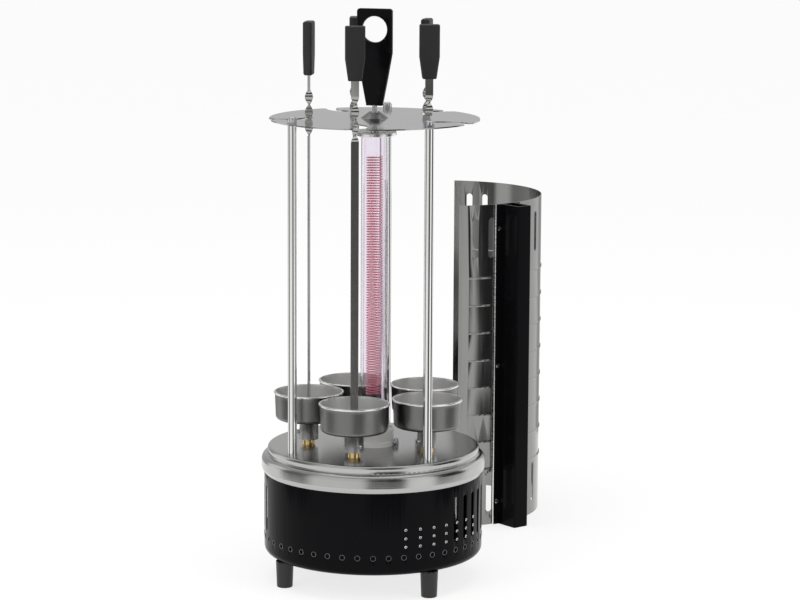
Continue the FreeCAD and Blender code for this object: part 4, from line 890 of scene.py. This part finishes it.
@dataclass
class Skewers:
    """Five stations: twisted blades, rolled cup rims and the set screws in the cups' stems."""

    rest_turns: tuple[float, ...] = (0.0, 5.0, 77.0, 90.0, 80.0)
    screw_bearings: tuple[float, ...] = (300.0, 220.0, 330.0, 250.0, 185.0)
    blade_width: float = 8.0 * MM
    blade_thick: float = 1.5 * MM
    blade_edge: float = 0.28 * MM
    blade_smooth: float = math.radians(28.0)
    point_length: float = 6.0 * MM
    point_thin: float = 0.4
    twist_foot: float = 454.7 * MM
    twist_length: float = 46.0 * MM
    twist_turn: float = 540.0
    twist_steps: int = 60
    bead_radius: float = 1.05 * MM
    bead_inset: float = 0.85 * MM
    bead_corners: int = 10
    bead_steps: int = 96
    screw_radius: float = 1.7 * MM
    screw_sides: int = 12
    screw_seat: float = 4.75 * MM
    screw_out: float = 4.0 * MM
    screw_edge: float = 0.25 * MM
    screw_level: float = 150.9 * MM
    socket_wall: float = 0.6 * MM
    socket_depth: float = 1.2 * MM

    def centre(self, number: int) -> Vector:
        """Foot of a station's axis."""
        low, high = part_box(f"spindle_{number}")
        return Vector(((low.x + high.x) / 2, (low.y + high.y) / 2, 0.0))

    def blade(self) -> bpy.types.Object:
        """Forges the pattern of a blade: point, flat, twist, and flat again up to the handle.

        Returns:
            The pattern, upright at the origin.
        """
        low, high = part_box("skewer_blade_1")
        shoulder = low.z + self.point_length
        piece = bar_section(self.blade_width, self.blade_thick, self.blade_edge, shoulder)
        with editing(piece):
            rise(self.twist_foot - shoulder)
            for _ in range(self.twist_steps):
                rise(self.twist_length / self.twist_steps)
                turn_selected(math.radians(self.twist_turn / self.twist_steps))
            rise(high.z - self.twist_foot - self.twist_length)
            choose_faces(piece, lambda face: face.normal.z < -FACING or (
                len(face.verts) > 4 and face.calc_center_median().z < shoulder + WELD))
            rise(-self.point_length)
            bpy.ops.transform.resize(
                value=(self.blade_thick / self.blade_width, self.point_thin, 1.0),
                center_override=(0.0, 0.0, low.z))
            bpy.ops.mesh.select_all(action="SELECT")
            bpy.ops.mesh.normals_make_consistent(inside=False)
        return smooth(settle(piece, "blade_pattern"), self.blade_smooth)

    def bead(self) -> bpy.types.Object:
        """Rolls the pattern of a cup's rim.

        Returns:
            The pattern, round the upright axis at the origin.
        """
        low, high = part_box("drip_cup_1")
        radius = (high.x - low.x) / 2 - self.bead_inset
        outline = circle_outline(radius, high.z - self.bead_radius, self.bead_radius,
                                 self.bead_corners)
        return lathe("bead_pattern", Vector(), outline, self.bead_steps)

    def screw(self) -> bpy.types.Object:
        """Makes the pattern of a set screw with its sunk socket, pointing along +X.

        Returns:
            The pattern, beside the upright axis at the origin.
        """
        low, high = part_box("spindle_1")
        stem = (high.x - low.x) / 2 + self.screw_seat
        deselect()
        bpy.ops.mesh.primitive_cylinder_add(
            vertices=self.screw_sides, radius=self.screw_radius, depth=self.screw_out * 2,
            location=(stem, 0.0, self.screw_level), rotation=(0.0, math.pi / 2, 0.0))
        piece = settle(bpy.context.object, "screw_pattern")
        with editing(piece):
            choose_faces(piece, lambda face: face.normal.x > FACING)
            bpy.ops.mesh.bevel(offset=self.screw_edge, segments=2)
            choose_faces(piece, lambda face: face.normal.x > SQUARE_ON and len(face.verts) > 4)
            bpy.ops.mesh.inset(thickness=self.socket_wall)
            bpy.ops.mesh.extrude_region_move(
                TRANSFORM_OT_translate={"value": (-self.socket_depth, 0.0, 0.0)})
        return smooth(piece)

    def build(self) -> None:
        """Gives every station its own blade, bead and screw."""
        blade, bead, screw = self.blade(), self.bead(), self.screw()
        for number, turn, bearing in zip(STATIONS, self.rest_turns, self.screw_bearings):
            centre = self.centre(number)
            foot_turn = math.radians(turn - self.twist_turn)
            own_blade = settle(copied(blade, centre, foot_turn), f"twisted_blade_{number}")
            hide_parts(f"skewer_blade_{number}")
            show(own_blade, "blade_steel", f"skewer_{number}")
            own_bead = settle(copied(bead, centre), f"cup_bead_{number}")
            show(own_bead, "cup_steel", f"spindle_{number}", BRIGHT_STEEL)
            own_screw = copied(screw, centre, math.radians(bearing))
            show(settle(own_screw, f"set_screw_{number}"), "zinc_steel", f"spindle_{number}")
        for pattern in (blade, bead, screw):
            bpy.data.objects.remove(pattern)


@dataclass
class Heater:
    """Quartz heater: the coil's windings, and the bolt of the clamp that holds its socket."""

    winding_radius: float = 7.6 * MM
    wire_radius: float = 0.5 * MM
    wire_pitch: float = 2.6 * MM
    wire_sides: int = 6
    turn_steps: int = 20
    lug_size: Vector = Vector((4.4, 1.3, 6.4)) * MM
    lug_gap: float = 2.4 * MM
    lug_sink: float = 0.6 * MM
    lug_edge: float = 0.4 * MM
    bolt_radius: float = 2.4 * MM
    bolt_head: float = 2.0 * MM
    head_edge: float = 0.35 * MM
    shank_share: float = 0.55
    shank_reach: float = 7.0 * MM
    shank_sides: int = 20
    shank_edge: float = 0.3 * MM
    clamp_bearing: float = -14.0

    def coil(self) -> None:
        """Winds the coil from one small disc."""
        low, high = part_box("heating_coil")
        turns = int((high.z - low.z - 2 * self.wire_radius) / self.wire_pitch)
        deselect()
        bpy.ops.mesh.primitive_circle_add(
            vertices=self.wire_sides, radius=self.wire_radius, fill_type="NGON",
            location=(self.winding_radius, 0.0, low.z + self.wire_radius),
            rotation=(math.pi / 2, 0.0, 0.0))
        piece = settle(bpy.context.object, "coil_windings")
        modify(piece, "SCREW", axis="Z", screw_offset=self.wire_pitch, iterations=turns,
               angle=math.tau, steps=self.turn_steps, render_steps=self.turn_steps,
               use_merge_vertices=True)
        with editing(piece):
            bpy.ops.mesh.normals_make_consistent(inside=False)
        smooth(piece, math.pi)
        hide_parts("heating_coil")
        show(piece, "coil_wire", "base")

    def lug(self, middle: Vector) -> bpy.types.Object:
        """Makes one lug of the clamp.

        Args:
            middle: The middle of the lug.

        Returns:
            The lug.
        """
        deselect()
        bpy.ops.mesh.primitive_cube_add(size=1.0, location=middle)
        bpy.context.object.scale = self.lug_size
        return modify(settle(bpy.context.object, "clamp_lug"), "BEVEL", width=self.lug_edge,
                      segments=3)

    def bolt(self, middle: Vector) -> list[bpy.types.Object]:
        """Makes the bolt that draws the lugs together.

        Args:
            middle: The middle between the lugs.

        Returns:
            Its head and its shank.
        """
        across = (math.pi / 2, 0.0, 0.0)
        head_out = self.lug_gap + self.bolt_head / 2 + self.lug_size.y / 2
        deselect()
        bpy.ops.mesh.primitive_cylinder_add(
            vertices=6, radius=self.bolt_radius, depth=self.bolt_head, rotation=across,
            location=middle - Vector((0.0, head_out, 0.0)))
        head = settle(bpy.context.object, "clamp_bolt_head")
        modify(head, "BEVEL", width=self.head_edge, segments=2)
        deselect()
        bpy.ops.mesh.primitive_cylinder_add(
            vertices=self.shank_sides, radius=self.bolt_radius * self.shank_share,
            depth=self.shank_reach + 2 * self.lug_gap, rotation=across, location=middle)
        shank = settle(bpy.context.object, "clamp_bolt_shank")
        modify(shank, "BEVEL", width=self.shank_edge, segments=2, limit_method="ANGLE")
        return [head, shank]

    def clamp(self) -> None:
        """Sets the clamp's two lugs and their bolt at the ring's side."""
        low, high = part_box("clamp_ring")
        middle = Vector((high.x + self.lug_size.x / 2 - self.lug_sink, 0.0,
                         low.z + self.lug_size.z / 2))
        lugs = [self.lug(middle + Vector((0.0, side * self.lug_gap, 0.0))) for side in (-1.0, 1.0)]
        pattern = joined("clamp_pattern", [*lugs, *self.bolt(middle)])
        turned = copied(pattern, Vector(), math.radians(self.clamp_bearing))
        bpy.data.objects.remove(pattern)
        show(smooth(settle(turned, "clamp_bolt")), "zinc_steel", "base")

    def build(self) -> None:
        """Builds the heater's own pieces."""
        self.coil()
        self.clamp()


@dataclass
class Reflector:
    """Rolled reflector: a bright steel rod up its strip's flange, a painted highlight on the
    flange's edge.
    """

    edge_place: Vector = Vector((131.97, 219.24, 0.0)) * MM
    edge_radius: float = 0.85 * MM
    edge_sides: int = 12
    edge_round: float = 0.2 * MM

    def build(self) -> None:
        """Runs the bright rod of painted highlight up the flange, from its foot to its head."""
        low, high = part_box("reflector_handle")
        deselect()
        bpy.ops.mesh.primitive_cylinder_add(
            vertices=self.edge_sides, radius=self.edge_radius, depth=high.z - low.z,
            location=self.edge_place + Vector((0.0, 0.0, (high.z + low.z) / 2)))
        edge = settle(bpy.context.object, "flange_highlight_rod")
        modify(edge, "BEVEL", width=self.edge_round, segments=2, limit_method="ANGLE")
        # The rod's bright steel is a painted highlight on the black strip's edge.
        show(smooth(edge), "strip_enamel", "reflector", BRIGHT_STEEL)


# ---------------------------------------------------------------------------------------------
# Studio
# ---------------------------------------------------------------------------------------------


WHITE = (1.0, 1.0, 1.0, 1.0)


@dataclass(frozen=True)
class SoftBox:
    """A soft lamp: where it hangs, how wide and high it is, and its power."""

    name: str
    place: tuple[float, float, float]
    width: float
    height: float
    watts: float

    def hang(self, aim: Vector) -> None:
        """Hangs the lamp. Metal mirrors the white room and not the lamp.

        Args:
            aim: The point that it faces.
        """
        data = bpy.data.lights.new(self.name, "AREA")
        data.shape = "RECTANGLE"
        data.size, data.size_y = self.width, self.height
        data.energy = self.watts
        lamp = bpy.data.objects.new(self.name, data)
        lamp.location = self.place
        lamp.rotation_euler = (Vector(self.place) - aim).to_track_quat("Z", "Y").to_euler()
        lamp.visible_glossy = False
        bpy.context.scene.collection.objects.link(lamp)


@dataclass
class Studio:
    """Pale floor, white room, a ring of see-through grey cards, soft lamps and the camera."""

    camera_distance: float = 3.0
    camera_height: float = 0.795
    camera_pitch: float = 0.16757
    camera_yaw: float = -0.00882
    camera_roll: float = 0.0051
    camera_far: float = 100.0
    lens: float = 134.89
    sensor: float = 36.0
    floor_size: float = 40.0
    floor_colour: str = "#F4F4F4"
    floor_glow: float = 0.75
    fill: float = 0.95
    ring_radius: float = 0.62
    ring_height: float = 1.2
    ring_split: float = 0.5
    ring_blur: float = 0.04
    ring_x: float = 0.03
    ring_y: float = 0.12
    ring_sides: int = 128
    low_cards: tuple[tuple[float, float], ...] = (
        (-160.0, 0.57), (-120.0, 0.4), (-112.0, 1.0), (-90.0, 1.0), (-84.0, 0.19), (-58.0, 0.19),
        (-50.0, 0.8), (-10.0, 0.8), (-5.0, 0.12), (7.0, 0.12), (11.0, 0.04), (19.0, 0.04),
        (25.0, 1.0), (46.0, 1.0), (54.0, 0.04), (84.0, 0.04), (92.0, 1.0), (142.0, 1.0),
        (148.0, 0.4), (160.0, 0.57),
    )
    high_cards: tuple[tuple[float, float], ...] = (
        (-120.0, 0.57), (-90.0, 0.38), (-50.0, 0.62), (0.0, 0.38), (50.0, 0.62), (90.0, 0.38),
        (120.0, 0.57),
    )
    aim: Vector = Vector((0.03, 0.05, 0.28))
    lamps: tuple[SoftBox, ...] = (
        SoftBox("soft_box_left", (-1.5, -1.5, 1.3), 0.9, 1.4, 14.0),
        SoftBox("soft_box_right", (1.7, -1.2, 1.0), 0.7, 1.4, 9.0),
        SoftBox("soft_box_top", (0.0, -0.2, 2.1), 1.4, 1.4, 12.0),
    )

    def camera(self) -> None:
        """Stands the camera in front, a little above the grill."""
        data = bpy.data.cameras.new("camera")
        data.lens = self.lens
        data.sensor_width = self.sensor
        data.sensor_fit = "HORIZONTAL"
        data.clip_end = self.camera_far
        camera = bpy.data.objects.new("camera", data)
        camera.location = (0.0, -self.camera_distance, self.camera_height)
        aim = Euler((math.pi / 2 - self.camera_pitch, 0.0, self.camera_yaw)).to_matrix()
        camera.rotation_euler = (aim @ Matrix.Rotation(self.camera_roll, 3, "Z")).to_euler()
        bpy.context.scene.collection.objects.link(camera)
        bpy.context.scene.camera = camera

    def seen(self, tree: bpy.types.NodeTree) -> bpy.types.NodeSocket:
        """Says whether a ray shows what it meets: straight, mirrored or through glass.

        Args:
            tree: The material's or world's tree.

        Returns:
            1 for such a ray, and 0 for one that only lights a surface.
        """
        path = add_node(tree, "ShaderNodeLightPath")
        mirrored = add_node(tree, "ShaderNodeMath", {
            0: path.outputs["Is Camera Ray"], 1: path.outputs["Is Glossy Ray"],
        }, operation="MAXIMUM")
        through = add_node(tree, "ShaderNodeMath", {
            0: mirrored.outputs["Value"], 1: path.outputs["Is Transmission Ray"],
        }, operation="MAXIMUM")
        return through.outputs["Value"]

    def floor(self) -> None:
        """Lays the pale floor, which keeps the grill's soft shadow."""
        deselect()
        bpy.ops.mesh.primitive_plane_add(size=self.floor_size, location=(0.0, 0.0, 0.0))
        floor = settle(bpy.context.object, "floor")
        material = bare_material("paper_floor")
        tree = material.node_tree
        paper = add_node(tree, "ShaderNodeBsdfDiffuse", {"Color": linear(self.floor_colour)})
        glow = add_node(tree, "ShaderNodeEmission", {"Strength": 1.0})
        share = add_node(tree, "ShaderNodeMath", {0: self.seen(tree), 1: self.floor_glow},
                         operation="MULTIPLY")
        bright = add_node(tree, "ShaderNodeMixShader", {
            0: share.outputs["Value"], 1: paper.outputs["BSDF"], 2: glow.outputs["Emission"]})
        add_node(tree, "ShaderNodeOutputMaterial", {"Surface": bright.outputs["Shader"]})
        floor.data.materials.append(material)

    def row(self, tree: bpy.types.NodeTree, share: bpy.types.NodeSocket,
            cards: tuple[tuple[float, float], ...]) -> bpy.types.NodeSocket:
        """Gives a row of cards its greys.

        Args:
            tree: The cards' tree.
            share: How far round the ring, from 0 to 1, with 0.5 at the camera.
            cards: Bearing of each card's edges in degrees, and the light that it lets through.

        Returns:
            How much light the row lets through.
        """
        ramp = add_node(tree, "ShaderNodeValToRGB", {"Fac": share})
        stops = ramp.color_ramp.elements
        for bearing, light in cards:
            stops.new(bearing / 360.0 + 0.5).color = (light, light, light, 1.0)
        for end, light in ((stops[0], cards[0][1]), (stops[-1], cards[-1][1])):
            end.color = (light, light, light, 1.0)
        return ramp.outputs["Color"]

    def greys(self) -> bpy.types.Material:
        """Makes the cards' material: clear, grey or nearly black by bearing, in two rows.

        Returns:
            The material.
        """
        material = bare_material("studio_card")
        tree = material.node_tree
        place = add_node(tree, "ShaderNodeTexCoord")
        middle = add_node(tree, "ShaderNodeVectorMath", {
            0: place.outputs["Object"], 1: (self.ring_x, self.ring_y, self.ring_split),
        }, operation="SUBTRACT")
        parts = add_node(tree, "ShaderNodeSeparateXYZ", {"Vector": middle.outputs["Vector"]})
        ahead = add_node(tree, "ShaderNodeMath", {0: parts.outputs["Y"], 1: -1.0},
                         operation="MULTIPLY")
        turn = add_node(tree, "ShaderNodeMath", {0: parts.outputs["X"], 1: ahead.outputs["Value"]},
                        operation="ARCTAN2")
        share = add_node(tree, "ShaderNodeMapRange", {
            "Value": turn.outputs["Value"], "From Min": -math.pi, "From Max": math.pi})
        low, high = (self.row(tree, share.outputs["Result"], cards)
                     for cards in (self.low_cards, self.high_cards))
        above = add_node(tree, "ShaderNodeMapRange", {
            "Value": parts.outputs["Z"], "From Min": -self.ring_blur, "From Max": self.ring_blur})
        mixed = add_node(tree, "ShaderNodeMix", {
            "Factor": above.outputs["Result"], 2: low, 3: high})
        clear = add_node(tree, "ShaderNodeBsdfTransparent", {"Color": mixed.outputs["Result"]})
        add_node(tree, "ShaderNodeOutputMaterial", {"Surface": clear.outputs["BSDF"]})
        return material

    def cards(self) -> None:
        """Stands the ring of cards, through which the grill's metal mirrors the white room."""
        deselect()
        bpy.ops.mesh.primitive_cylinder_add(
            vertices=self.ring_sides, radius=self.ring_radius, depth=self.ring_height,
            end_fill_type="NOTHING", location=(self.ring_x, self.ring_y, self.ring_height / 2))
        ring = settle(bpy.context.object, "card_ring")
        ring.data.materials.append(self.greys())
        for ray in ("camera", "diffuse", "transmission", "shadow"):
            setattr(ring, f"visible_{ray}", False)

    def world(self) -> None:
        """Surrounds the grill with soft white, which metal and glass show too."""
        world = bpy.data.worlds.new("white_studio")
        bpy.context.scene.world = world
        world.use_nodes = True
        tree = world.node_tree
        tree.nodes.clear()
        white = add_node(tree, "ShaderNodeBackground", {"Strength": 1.0, "Color": WHITE})
        fill = add_node(tree, "ShaderNodeBackground", {"Strength": self.fill, "Color": WHITE})
        mixed = add_node(tree, "ShaderNodeMixShader", {
            0: self.seen(tree), 1: fill.outputs["Background"], 2: white.outputs["Background"]})
        add_node(tree, "ShaderNodeOutputWorld", {"Surface": mixed.outputs["Shader"]})

    def build(self) -> None:
        """Builds the studio."""
        bpy.context.scene.view_settings.view_transform = "Standard"
        self.camera()
        self.floor()
        self.cards()
        self.world()
        for lamp in self.lamps:
            lamp.hang(self.aim)


def main() -> None:
    """Builds the grill's pieces in order, then the studio."""
    logging.basicConfig(level=logging.INFO, format="%(name)s: %(message)s")
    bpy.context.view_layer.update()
    dress_frame()
    Drum().build()
    Skewers().build()
    Heater().build()
    Reflector().build()
    Studio().build()


if __name__ == "__main__":
    main()
